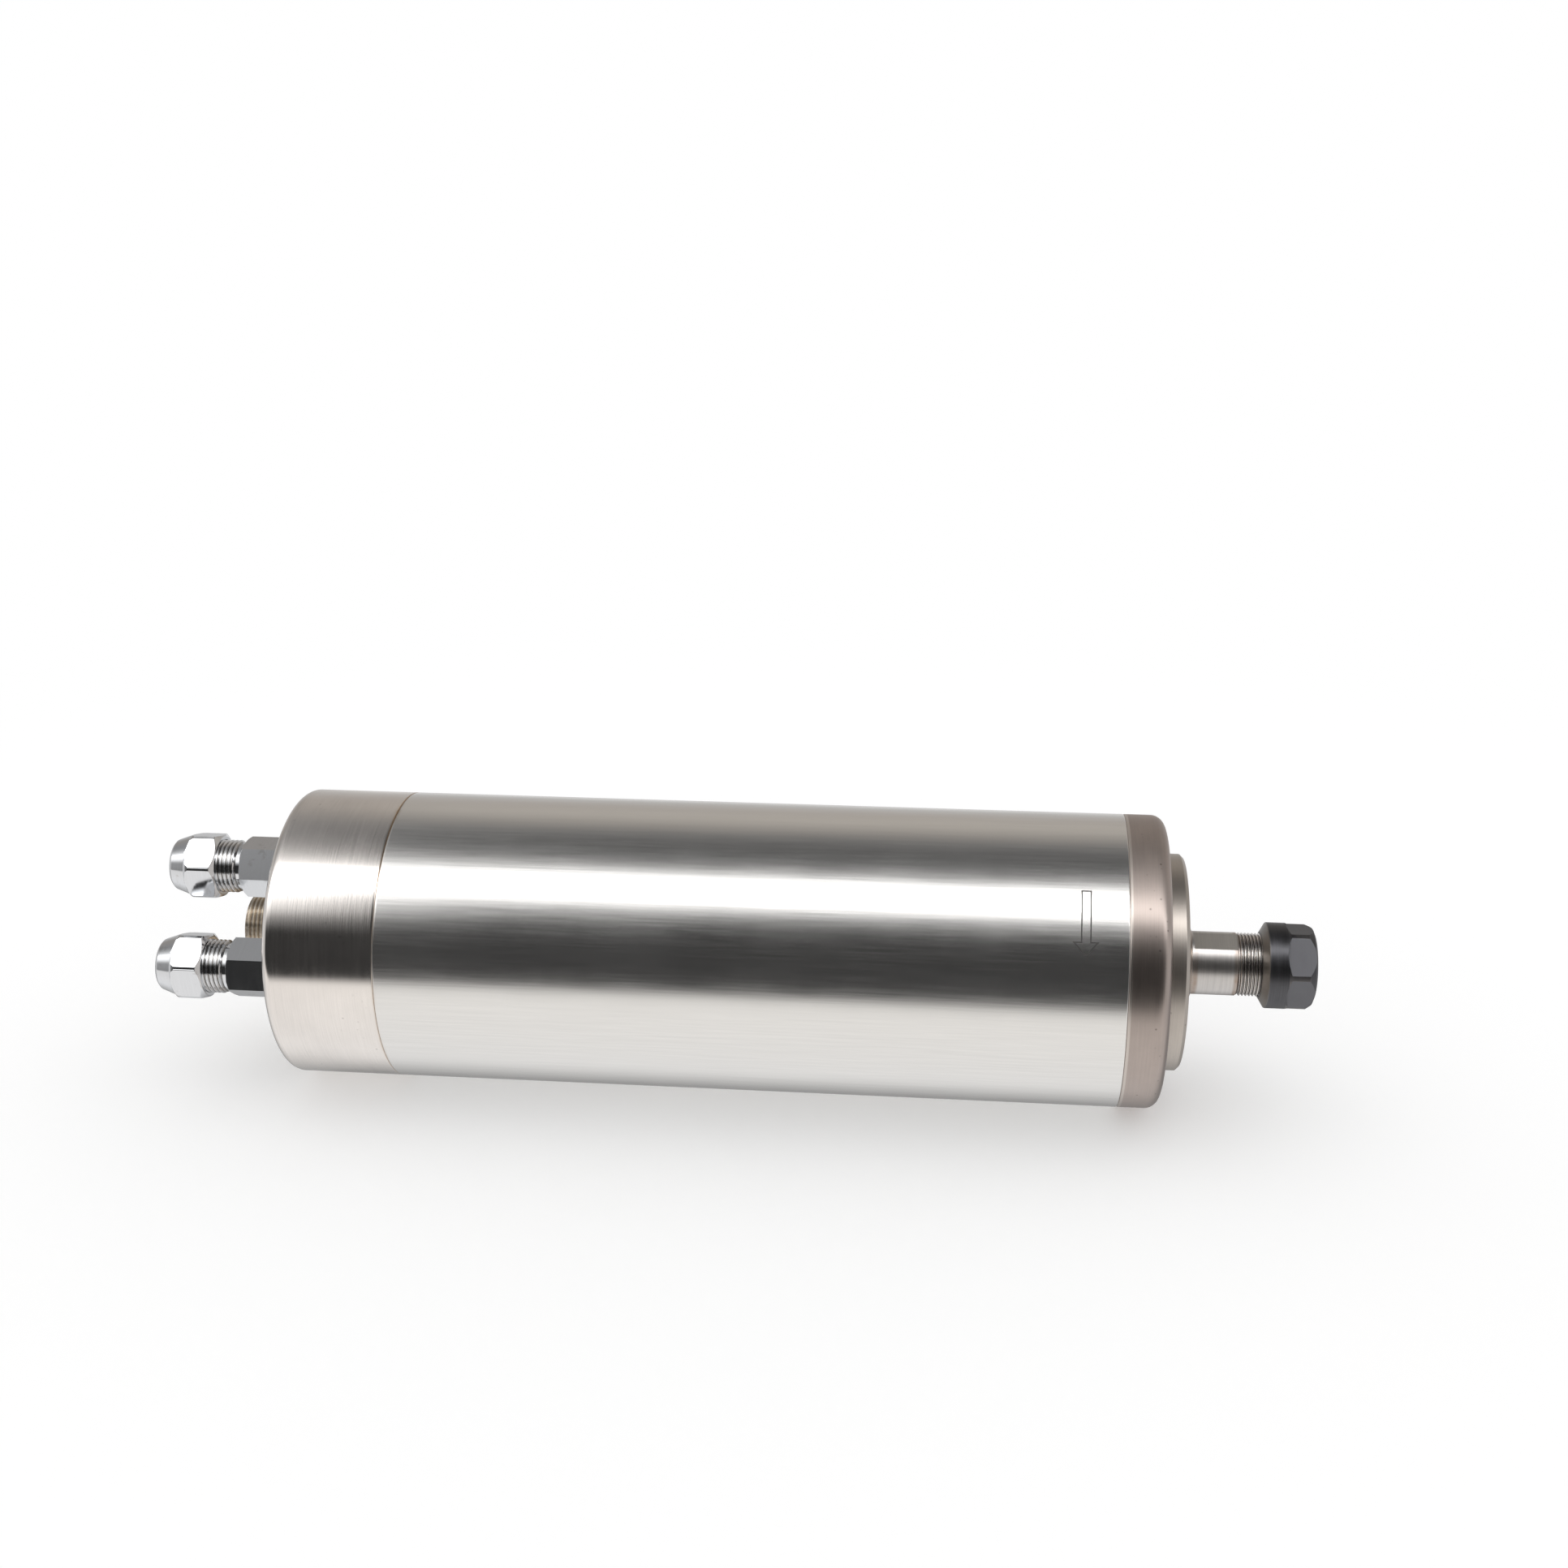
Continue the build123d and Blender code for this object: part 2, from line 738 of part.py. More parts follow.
with BuildPart() as front_ball_cages:
    # balls held in a thin cage, one row for each bearing
    for start in front_starts:
        middle = start + front_bearing_width / 2
        revolve(
            ring(middle - cage_width / 2, middle + cage_width / 2, front_pitch - cage_thickness / 2,
                 front_pitch + cage_thickness / 2),
            axis=Axis.X,
        )
        with Locations(across(middle)):
            with PolarLocations(front_pitch, front_ball_count):
                add(faceted_ball(front_bearing_bore, front_bearing_outer))

with BuildPart() as rear_ball_cage:
    middle = rear_bearing_back + rear_bearing_width / 2
    revolve(
        ring(middle - cage_width / 2, middle + cage_width / 2, rear_pitch - cage_thickness / 2,
             rear_pitch + cage_thickness / 2),
        axis=Axis.X,
    )
    with Locations(across(middle)):
        with PolarLocations(rear_pitch, rear_ball_count):
            add(faceted_ball(rear_bearing_bore, rear_bearing_outer))

# ---------------------------------------------------------------- dust ring
with BuildPart() as dust_ring:
    # polished ring on the shaft that clamps the inner rings and turns inside the cover
    revolve(
        outline(
            (front_face, nose_radius + seat_gap),
            (front_face + dust_ring_length, nose_radius + seat_gap),
            (front_face + dust_ring_length, dust_ring_radius - dust_ring_bevel),
            (front_face + dust_ring_length - dust_ring_bevel, dust_ring_radius),
            (front_face, dust_ring_radius),
        ),
        axis=Axis.X,
    )

# ---------------------------------------------------------------- collet and nut
head_cone_length = (collet_head_radius - collet_face_radius) / tan(radians(collet_head_cone))
groove_front = collet_front - head_cone_length - collet_head_land
groove_back = groove_front - collet_groove_width

with BuildPart() as collet:
    # slotted clamping sleeve: short head cone, hook groove and long cone
    revolve(
        outline(
            (collet_front, collet_bore / 2),
            (collet_front, collet_face_radius),
            (collet_front - head_cone_length, collet_head_radius),
            (groove_front, collet_head_radius),
            (groove_front, collet_groove_radius),
            (groove_back, collet_groove_radius),
            (groove_back, collet_radius(groove_back)),
            (collet_small, collet_radius(collet_small)),
            (collet_small, collet_bore / 2),
        ),
        axis=Axis.X,
    )
    slot_length = collet_length - collet_slot_end
    slot_pitch = 360 / collet_slots_each_way
    for start, turn in ((collet_small, 0), (collet_small + collet_slot_end, slot_pitch / 2)):
        with BuildSketch(across(start)):
            with PolarLocations(nose_radius / 2, collet_slots_each_way, turn):
                Rectangle(nose_radius, collet_slot)
        extrude(amount=slot_length, mode=Mode.SUBTRACT)

with BuildPart() as collet_nut:
    # closing nut: round skirt, hexagon, and a hook inside that sits in the collet's groove
    hook_radius = collet_groove_radius + nut_hook_gap
    revolve(
        outline(
            (nut_back, nose_radius + thread_gap),
            (groove_back + nut_hook_gap, nose_radius + thread_gap),
            (groove_back + nut_hook_gap, hook_radius),
            (groove_front - nut_hook_gap, hook_radius),
            (groove_front - nut_hook_gap, collet_head_radius + nut_hook_gap),
            (collet_front - head_cone_length + nut_hook_gap / 2, collet_head_radius + nut_hook_gap),
            (nut_front, collet_face_radius + nut_hook_gap),
            (nut_front, nut_front_radius),
            (nut_front - nut_shoulder_set, nut_shoulder_radius),
            (nut_front - nut_round_set, nut_radius),
            (nut_back + nut_back_bevel, nut_radius),
            (nut_back, nut_back_radius),
        ),
        axis=Axis.X,
    )
    extrude(
        flats(nut_front - nut_hex_length, (0, 0), nut_flats, nut_hex_angle, nut_radius + overrun),
        amount=nut_hex_length,
        dir=(1, 0, 0),
        mode=Mode.SUBTRACT,
    )


# ---------------------------------------------------------------- hose fittings
def fitting_body(name):
    """Screwed-in body: port thread, hexagon, neck, nut thread and hose seat."""
    angle = port_angles[name]
    plane = rear_plane(port_circle, angle)
    hex_start = port_washer_thickness
    hex_radius = fitting_flats / sqrt(3)
    with BuildPart() as body:
        revolve(
            outline(
                (-port_thread_length, fitting_bore_radius),
                (-port_thread_length, port_thread_radius),
                (hex_start, port_thread_radius),
                (hex_start, hex_radius),
                (fitting_hex_end - fitting_hex_bevel, hex_radius),
                (fitting_hex_end, hex_radius - fitting_hex_bevel_height),
                (fitting_hex_end, fitting_neck_radius),
                (fitting_hex_end + fitting_neck_length, fitting_neck_radius),
                (fitting_hex_end + fitting_neck_length, fitting_thread_radius),
                (fitting_end, fitting_thread_radius),
                (fitting_end, mouth_radius),
                (fitting_end - mouth_depth, hose_radius + hose_gap),
                (fitting_stop, hose_radius + hose_gap),
                (fitting_stop, fitting_bore_radius),
                plane=plane,
            ),
            axis=rear_axis(port_circle, angle),
        )
        extrude(
            flats(rear_face - hex_start, polar(port_circle, angle), fitting_flats,
                  body_hex_angles[name], hex_radius + overrun),
            amount=fitting_hex_end - hex_start,
            dir=(-1, 0, 0),
            mode=Mode.SUBTRACT,
        )
    return body.part


def fitting_washer(name):
    """Sealing washer under the hexagon."""
    angle = port_angles[name]
    with BuildPart() as washer:
        section = ring(0, port_washer_thickness, port_thread_radius + bore_gap, port_washer_radius,
                       plane=rear_plane(port_circle, angle))
        revolve(section, axis=rear_axis(port_circle, angle))
    return washer.part


nose_slope = (mouth_radius - hose_radius - hose_gap) / mouth_depth
ferrule_bore = hose_radius + hose_gap
ferrule_start = fitting_end - ferrule_nose
ferrule_end = ferrule_start + ferrule_length
nut_end = hose_nut_start + hose_nut_length


def ferrule(name):
    """Clamping ring that the nut squeezes between the body and the hose."""
    angle = port_angles[name]
    with BuildPart() as body:
        revolve(
            outline(
                (ferrule_start, ferrule_bore),
                (ferrule_end, ferrule_bore),
                (ferrule_end, ferrule_bore + ferrule_lip),
                (ferrule_end - ferrule_bevel, ferrule_radius),
                (fitting_end, ferrule_radius),
                (ferrule_start, ferrule_radius - nose_slope * ferrule_nose),
                plane=rear_plane(port_circle, angle),
            ),
            axis=rear_axis(port_circle, angle),
        )
    return body.part


def hose_nut(name):
    """Compression nut: hexagon with a bevelled back and a tapered nose."""
    angle = port_angles[name]
    cavity = ferrule_radius + 2 * ferrule_gap
    with BuildPart() as body:
        revolve(
            outline(
                (hose_nut_start, fitting_thread_radius + thread_gap),
                (fitting_end + nut_cavity_start, fitting_thread_radius + thread_gap),
                (fitting_end + nut_cavity_start, cavity),
                (ferrule_end - ferrule_bevel + ferrule_gap, cavity),
                (ferrule_end + ferrule_gap, ferrule_bore + ferrule_lip + ferrule_gap),
                (ferrule_end + ferrule_gap, hose_radius + hose_gap),
                (nut_end, hose_radius + hose_gap),
                (nut_end, hose_nut_tip_radius),
                (nut_end - hose_nut_nose_length / 2, hose_nut_waist_radius),
                (nut_end - hose_nut_nose_length, hose_nut_radius),
                (hose_nut_start + hose_nut_back_bevel, hose_nut_radius),
                (hose_nut_start, hose_nut_back_radius),
                plane=rear_plane(port_circle, angle),
            ),
            axis=rear_axis(port_circle, angle),
        )
        extrude(
            flats(rear_face - hose_nut_start, polar(port_circle, angle), hose_nut_flats,
                  hose_nut_angles[name], hose_nut_radius + overrun),
            amount=hose_nut_length,
            dir=(-1, 0, 0),
            mode=Mode.SUBTRACT,
        )
    return body.part


# ---------------------------------------------------------------- connector
connector_line = rear_axis(connector_circle, connector_angle)
connector_plane = rear_plane(connector_circle, connector_angle)
flange_start = connector_gasket_thickness
flange_end = flange_start + connector_flange_thickness
insert_back = insert_face - insert_thickness

with BuildPart() as connector_gasket:
    section = ring(0, flange_start, connector_thread_radius + bore_gap, connector_flange_radius,
                   plane=connector_plane)
    revolve(section, axis=connector_line)

with BuildPart() as connector_shell:
    # screwed-in shell with a flange, a thread for the plug's ring and a keyed cavity
    shell_bore = connector_cavity_radius - insert_shoulder
    revolve(
        outline(
            (-connector_shank_length, shell_bore),
            (-connector_shank_length, connector_thread_radius),
            (flange_start, connector_thread_radius),
            (flange_start, connector_flange_radius),
            (flange_end, connector_flange_radius),
            (flange_end, connector_neck_radius),
            (flange_end + connector_neck_length, connector_neck_radius),
            (flange_end + connector_neck_length, connector_thread_radius),
            (connector_end - connector_edge_bevel, connector_thread_radius),
            (connector_end, connector_thread_radius - connector_edge_bevel),
            (connector_end, connector_cavity_radius),
            (insert_back, connector_cavity_radius),
            (insert_back, shell_bore),
            plane=connector_plane,
        ),
        axis=connector_line,
    )
    with BuildSketch(across(rear_face - connector_end)):
        with Locations(Location(connector_centre, connector_flat_angle)):
            Circle(connector_thread_radius + overrun)
            Rectangle(connector_flat_width, 4 * connector_thread_radius, mode=Mode.SUBTRACT)
    extrude(amount=connector_end - flange_end, mode=Mode.SUBTRACT)
    # key inside the cavity, so that the plug enters one way round
    with BuildSketch(across(rear_face - connector_end + key_set)):
        with Locations(Location(connector_centre, key_angle)):
            with Locations((connector_cavity_radius, 0)):
                Rectangle(2 * key_height, key_width)
        with Locations(connector_centre):
            Circle(connector_cavity_radius + key_height / 2, mode=Mode.INTERSECT)
    extrude(amount=connector_cavity_depth - key_set)

with BuildPart() as connector_insert:
    # insulating block that holds the pins
    block = ring(insert_back, insert_face, 0, connector_cavity_radius - seat_gap, plane=connector_plane)
    revolve(block, axis=connector_line)
    with BuildSketch(across(rear_face - connector_end)):
        with Locations(connector_centre):
            with PolarLocations(pin_circle, pin_count):
                Circle(pin_radius + seat_gap)
    extrude(amount=connector_cavity_depth + insert_thickness, mode=Mode.SUBTRACT)

with BuildPart() as connector_pins:
    with BuildSketch(across(rear_face - pin_front)):
        with Locations(connector_centre):
            with PolarLocations(pin_circle, pin_count):
                Circle(pin_radius)
    extrude(amount=pin_front - pin_back)
    chamfer(rims(connector_pins, rear_face - pin_front, pin_radius), pin_bevel)

with BuildPart() as phase_leads:
    # three insulated leads from the pins, through the rear cap, to the coils
    for first, way in lead_ways:
        with BuildSketch(across(first.X)):
            with Locations((first.Y, first.Z)):
                Circle(lead_radius)
        extrude(amount=way.length, dir=way)

# ---------------------------------------------------------------- labels and files
pieces = {
    "outer_tube": outer_tube.part,
    "cooling_jacket": cooling_jacket.part,
    "jacket_seals": jacket_seals.part,
    "front_cap": front_cap.part,
    "rear_cap": rear_cap.part,
    "rear_cap_screws": rear_cap_screws.part,
    "front_bearing_cover": front_bearing_cover.part,
    "cover_screws": cover_screws.part,
    "stator_core": stator_core.part,
    "stator_windings": stator_windings.part,
    "rotor_core": rotor_core.part,
    "rotor_cage": rotor_cage.part,
    "shaft": shaft.part,
    "rear_circlip": rear_circlip.part,
    "front_bearing_outer_rings": front_bearing_outer_rings.part,
    "front_bearing_inner_rings": front_bearing_inner_rings.part,
    "rear_bearing_outer_ring": rear_bearing_outer_ring.part,
    "rear_bearing_inner_ring": rear_bearing_inner_ring.part,
    "front_ball_cages": front_ball_cages.part,
    "rear_ball_cage": rear_ball_cage.part,
    "dust_ring": dust_ring.part,
    "collet": collet.part,
    "collet_nut": collet_nut.part,
    "connector_gasket": connector_gasket.part,
    "connector_shell": connector_shell.part,
    "connector_insert": connector_insert.part,
    "connector_pins": connector_pins.part,
    "phase_leads": phase_leads.part,
}
for name in port_angles:
    pieces[f"fitting_body_{name}"] = fitting_body(name)
    pieces[f"fitting_washer_{name}"] = fitting_washer(name)
    pieces[f"ferrule_{name}"] = ferrule(name)
    pieces[f"hose_nut_{name}"] = hose_nut(name)

for name, piece in pieces.items():
    piece.label = name
    export_step(piece, f"parts/{name}.step")
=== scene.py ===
# %% [markdown]
# # Motor spindle
# A spindle is a motor in a polished tube, with a collet in its nose for the cutter and water
# fittings on its tail. Nearly every piece of it was turned on a lathe, so this lesson makes one
# good turning helper and one thread, and spends the rest of its effort on the metal finishes.

# %% Load the frame
import math

import bmesh
import bpy
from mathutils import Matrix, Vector


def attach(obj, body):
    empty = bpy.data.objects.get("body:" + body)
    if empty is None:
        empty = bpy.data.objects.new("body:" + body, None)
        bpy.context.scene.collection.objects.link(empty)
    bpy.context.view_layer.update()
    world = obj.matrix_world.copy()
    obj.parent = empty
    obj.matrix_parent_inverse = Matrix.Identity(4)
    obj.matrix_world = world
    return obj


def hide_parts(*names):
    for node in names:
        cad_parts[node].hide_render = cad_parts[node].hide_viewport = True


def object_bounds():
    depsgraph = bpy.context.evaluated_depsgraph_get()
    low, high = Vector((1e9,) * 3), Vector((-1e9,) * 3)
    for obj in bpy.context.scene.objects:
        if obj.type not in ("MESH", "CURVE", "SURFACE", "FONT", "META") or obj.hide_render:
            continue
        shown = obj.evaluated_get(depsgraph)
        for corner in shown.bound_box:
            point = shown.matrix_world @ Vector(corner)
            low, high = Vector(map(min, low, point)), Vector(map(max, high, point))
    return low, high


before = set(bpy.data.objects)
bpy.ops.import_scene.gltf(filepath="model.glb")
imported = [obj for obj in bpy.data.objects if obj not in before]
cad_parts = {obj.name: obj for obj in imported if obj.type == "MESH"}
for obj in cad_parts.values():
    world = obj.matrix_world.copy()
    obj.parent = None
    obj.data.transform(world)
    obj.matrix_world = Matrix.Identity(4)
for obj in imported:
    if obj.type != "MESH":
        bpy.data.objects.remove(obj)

cad_low, cad_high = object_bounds()
scene = bpy.context.scene
scene.view_settings.view_transform = "Standard"
MM = 0.001
print("frame box in mm:", [round(v / MM, 2) for v in (*cad_low, *cad_high)])

# %% [markdown]
# Several steps share a few measures in mm: the tube's radius, where pieces meet along X, the nose
# thread's crest and core, and where the ports and the socket stand in the rear face.

# %% Shared measures
TUBE_R = 32.5
REAR, REAR_SEAM, FRONT_SEAM, COVER_BACK, RING_FRONT = -105.5, -80.5, 80.5, 89.5, 96.0
CREST, CORE = 7.0, 6.54
PORT_PLACES = {"a": (-4.400, 16.421), "b": (-16.688, -3.244)}
SOCKET_PLACE = (14.001, -5.096)
AXIS = (0.0, 0.0)
print("casing length:", COVER_BACK - REAR)


def linked(name, data):
    """A new object in the scene that holds this data."""
    made = bpy.data.objects.new(name, data)
    scene.collection.objects.link(made)
    return made


# %% [markdown]
# The camera comes first, because it decides which side of the spindle faces us. It looks down on
# the tube from in front, a little towards the nose, and close enough for the near side to look
# larger than the far one.

# %% Camera
CAMERA_PLACE = Vector((48.5, -415.0, 163.2)) * MM
CAMERA_AIM = Vector((-0.0990, 0.9530, -0.2862))
CAMERA_LENS = 45.15
camera_data = bpy.data.cameras.new("camera")
camera_data.lens = CAMERA_LENS
camera_data.sensor_width = 36.0
camera_data.clip_start = 0.01
camera_data.clip_end = 50.0
camera = linked("camera", camera_data)
camera.location = CAMERA_PLACE
camera.rotation_euler = CAMERA_AIM.to_track_quat("-Z", "Y").to_euler()
scene.camera = camera
print("lens in mm:", CAMERA_LENS)

# %% [markdown]
# Every finish, the studio and the Geometry Nodes trees are made of nodes. A few short functions
# that add a node and fill or link its sockets keep all of them readable.

# %% Node helpers
def is_socket(value):
    """Whether a value comes out of another node."""
    return isinstance(value, bpy.types.NodeSocket)


def fill(tree, socket, value):
    """Links a socket to another one, or sets its own value."""
    if is_socket(value):
        tree.links.new(value, socket)
    else:
        socket.default_value = value


def add(tree, kind, inputs=(), **settings):
    """Adds a node. inputs maps a socket's name or number to a value or to another socket."""
    made = tree.nodes.new(kind)
    for key, value in settings.items():
        setattr(made, key, value)
    for key, value in dict(inputs).items():
        fill(tree, made.inputs[key], value)
    return made


def maths(tree, operation, *values):
    """One Math node. The values are numbers or sockets."""
    return add(tree, "ShaderNodeMath", enumerate(values), operation=operation).outputs[0]


def noise(tree, place, **sockets):
    """One noise pattern, as its factor."""
    return add(tree, "ShaderNodeTexNoise", {"Vector": place, **sockets}).outputs[0]


def colour(value):
    """A grey or a colour as the four numbers that a socket wants."""
    if isinstance(value, tuple):
        return (*value[:3], 1.0)
    return (value, value, value, 1.0)


def mix(tree, factor, a, b, blend="MIX"):
    """Colour a where the factor is 0 and b where it is 1."""
    a, b = (v if is_socket(v) else colour(v) for v in (a, b))
    return add(tree, "ShaderNodeMix", {0: factor, 6: a, 7: b}, data_type="RGBA",
               blend_type=blend).outputs[2]


def ramp(tree, factor, *stops, smooth=False):
    """A colour ramp with (place, grey or colour) stops."""
    node = add(tree, "ShaderNodeValToRGB", {0: factor})
    node.color_ramp.interpolation = "EASE" if smooth else "LINEAR"
    elements = node.color_ramp.elements
    while len(elements) < len(stops):
        elements.new(1.0)
    for element, (place, value) in zip(elements, stops):
        element.position = place
        element.color = colour(value)
    return node.outputs[0]


# %% [markdown]
# Polished metal has almost no colour of its own: what we see on the tube is the room. A studio
# lights such a tube with a long soft box over it and a dark curtain facing it, and these give the
# bright and dark bands that tell the eye it is round. The world draws that room about the X axis
# for reflections, as (angle in degrees, light) stops, with a wider box and no upper curtain at the
# rear end. The camera sees plain white, and everything else gets an even light.

# %% World
ROOM_BANDS = (
    (-180, 0.80), (-168, 0.72), (-150, 0.34), (-136, 0.30), (-118, 0.52), (-98, 0.86),
    (-23, (0.90, 0.885, 0.86)), (-16, 0.030), (32, 0.030), (39, 0.10), (46, 0.34), (52, 0.80),
    (57, 2.60), (60, 4.20), (67, 4.00), (70, 2.20), (75, 0.66), (82, 0.28), (89, 0.12),
    (98, 0.095), (107, 0.10), (117, 0.17), (126, (0.31, 0.29, 0.27)), (140, (0.48, 0.45, 0.41)),
    (157, (0.42, 0.39, 0.36)), (180, 0.55),
)
REAR_BANDS = (
    (-180, 0.60), (-150, 0.36), (-136, 0.40), (-118, 0.56), (-101, 0.74), (-88, 0.86),
    (-23, (0.90, 0.88, 0.86)), (-17, 0.024), (19, 0.024), (25, 0.18), (30, 0.38), (36, 0.95),
    (43, 1.40), (57, 2.40), (60, 3.60), (67, 3.60), (71, 2.20), (77, 1.10), (84, 0.70),
    (94, 0.42), (104, 0.32), (114, 0.28), (150, (0.32, 0.30, 0.28)), (180, 0.50),
)
REAR_CHANGE = (0.303, 0.320)
END_START, END_FULL, END_LIGHT = 0.80, 0.97, 0.66
EVEN_LIGHT = 0.92
world = bpy.data.worlds.new("studio")
scene.world = world
world.use_nodes = True
room = world.node_tree
room.nodes.clear()
way = add(room, "ShaderNodeSeparateXYZ",
          {0: add(room, "ShaderNodeTexCoord").outputs["Generated"]})
forward = maths(room, "MULTIPLY", way.outputs["Y"], -1.0)
angle = maths(room, "ARCTAN2", way.outputs["Z"], forward)
turn = maths(room, "MULTIPLY_ADD", angle, 0.5 / math.pi, 0.5)
bands, rear_bands = (ramp(room, turn, *[((a + 180) / 360, v) for a, v in table])
                     for table in (ROOM_BANDS, REAR_BANDS))
towards_rear = maths(room, "MULTIPLY", way.outputs["X"], -1.0)
at_rear = ramp(room, towards_rear, (REAR_CHANGE[0], 0.0), (REAR_CHANGE[1], 1.0))
bands = mix(room, at_rear, bands, rear_bands)
sideways = maths(room, "ABSOLUTE", way.outputs["X"])
at_ends = ramp(room, sideways, (END_START, 0.0), (END_FULL, 1.0))
reflected = mix(room, at_ends, bands, END_LIGHT)
rays = add(room, "ShaderNodeLightPath").outputs
unseen = mix(room, rays["Is Glossy Ray"], EVEN_LIGHT, reflected)
direct = maths(room, "MAXIMUM", rays["Is Camera Ray"], rays["Is Transmission Ray"])
background = add(room, "ShaderNodeBackground",
                 {"Color": mix(room, direct, unseen, 1.0), "Strength": 1.0})
add(room, "ShaderNodeOutputWorld", {"Surface": background.outputs[0]})
print("room:", len(ROOM_BANDS), "bands of light, and at the rear", len(REAR_BANDS))

# %% [markdown]
# The floor is a wide white sheet. Part of its white is its own light, so that it meets the
# background without a line, and the rest takes the soft shadow. Reflections pass through it,
# because the room already holds the floor that the metal mirrors.

# %% Floor
FLOOR_Z = cad_low[2]
FLOOR_REACH = 12.0
FADE_START, FADE_END = 0.20, 0.50
SHADED_WHITE, OWN_LIGHT = 0.86, 0.22
corners = [(x * FLOOR_REACH, y * FLOOR_REACH, FLOOR_Z)
           for x, y in ((-1, -1), (1, -1), (1, 1), (-1, 1))]
floor_mesh = bpy.data.meshes.new("floor")
floor_mesh.from_pydata(corners, [], [(0, 1, 2, 3)])
floor = linked("floor", floor_mesh)
paper = bpy.data.materials.new("floor_paper")
paper.use_nodes = True
sheet = paper.node_tree
sheet.nodes.clear()
at = add(sheet, "ShaderNodeTexCoord").outputs["Object"]
gone = add(sheet, "ShaderNodeVectorMath", {0: at}, operation="LENGTH").outputs["Value"]
far = ramp(sheet, gone, (FADE_START, 0.0), (FADE_END, 1.0), smooth=True)
lit = add(sheet, "ShaderNodeBsdfDiffuse", {"Color": colour(SHADED_WHITE)})
glow = add(sheet, "ShaderNodeEmission", {"Color": colour(1.0), "Strength": OWN_LIGHT})
both = add(sheet, "ShaderNodeAddShader", {0: lit.outputs[0], 1: glow.outputs[0]})
white = add(sheet, "ShaderNodeEmission", {"Color": colour(1.0), "Strength": 1.0})
faded = add(sheet, "ShaderNodeMixShader", {0: far, 1: both.outputs[0], 2: white.outputs[0]})
mirrored = add(sheet, "ShaderNodeLightPath").outputs["Is Glossy Ray"]
clear = add(sheet, "ShaderNodeBsdfTransparent")
seen = add(sheet, "ShaderNodeMixShader", {0: mirrored, 1: faded.outputs[0], 2: clear.outputs[0]})
add(sheet, "ShaderNodeOutputMaterial", {"Surface": seen.outputs[0]})
floor_mesh.materials.append(paper)
print("floor at z in mm:", round(FLOOR_Z / MM, 2))

# %% [markdown]
# A lathe and a grinder leave fine lines, and handling leaves blotches, stains and specks of grit.
# Each is a noise at its own scale: very long and thin for the lines, broad for the blotches, and
# small cells for the grit. One recipe holds them all, and each metal below sets how much of each
# it has. `marks` adds what only one metal has, such as the oil in a seam. Rubber and plastic come
# from a mould and are simpler: one colour, a fine texture and a soft shine.

# %% Metal and plastic recipes
BUMP_DEPTH = 0.0001


def new_material(name):
    """An empty finish: the material, its tree, its shader and the place on the object."""
    material = bpy.data.materials.new(name)
    material.use_nodes = True
    tree = material.node_tree
    return (material, tree, tree.nodes["Principled BSDF"],
            add(tree, "ShaderNodeTexCoord").outputs["Object"])


def roughened(tree, shader, height, strength):
    """Lets a pattern stand out a little from the surface."""
    relief = add(tree, "ShaderNodeBump",
                 {"Height": height, "Strength": strength, "Distance": BUMP_DEPTH})
    fill(tree, shader.inputs["Normal"], relief.outputs[0])


def metal(name, base, rough, grain=0.0, along=False, blotch=0.0, stain=None, stain_share=0.0,
          specks=0.0, bump=0.0, rough_spread=0.05, marks=None, haze=None):
    """A metal with fine lines, blotches of a darker tone, stains, grit and uneven shine."""
    material, tree, shader, place = new_material(name)
    fill(tree, shader.inputs["Metallic"], 1.0)
    stretch = (60.0, 2500.0, 2500.0) if along else (3500.0, 90.0, 90.0)
    drawn = add(tree, "ShaderNodeMapping", {"Vector": place, "Scale": stretch}).outputs[0]
    lines = noise(tree, drawn, Scale=1.0, Detail=3.0)
    cloud = noise(tree, place, Scale=55.0, Detail=6.0, Roughness=0.6)
    tint = colour(base)
    if blotch:
        darker = tuple(c * (1.0 - blotch) for c in base)
        tint = mix(tree, ramp(tree, cloud, (0.35, 0.0), (0.65, 1.0)), darker, base)
    if grain:
        shade = ramp(tree, lines, (0.3, 1.0 - grain), (0.7, 1.0))
        tint = mix(tree, 1.0, tint, shade, "MULTIPLY")
    if stain:
        spread = noise(tree, place, Scale=130.0, Detail=9.0, Roughness=0.7)
        low = 0.62 - 0.3 * stain_share
        tint = mix(tree, ramp(tree, spread, (low, 0.0), (low + 0.12, 0.85)), tint, stain)
    if specks:
        spots = add(tree, "ShaderNodeTexVoronoi", {"Vector": place, "Scale": 420.0})
        grit = ramp(tree, spots.outputs["Distance"], (0.05, specks), (0.13, 0.0))
        grit = maths(tree, "MULTIPLY", grit, ramp(tree, cloud, (0.50, 0.0), (0.58, 1.0)))
        tint = mix(tree, grit, tint, (0.03, 0.025, 0.02))
    for mask, mark in marks(tree, place, cloud) if marks else ():
        tint = mix(tree, mask, tint, mark)
    fill(tree, shader.inputs["Base Color"], tint)
    uneven = maths(tree, "MULTIPLY", maths(tree, "ADD", lines, cloud), 0.5)
    dull = add(tree, "ShaderNodeMapRange",
               {"Value": uneven, "From Min": 0.35, "From Max": 0.65, "To Min": rough,
                "To Max": rough + rough_spread}).outputs[0]
    if haze:
        dull = maths(tree, "ADD", dull, haze(tree, place))
    fill(tree, shader.inputs["Roughness"], dull)
    if bump:
        roughened(tree, shader, lines, bump)
    return material


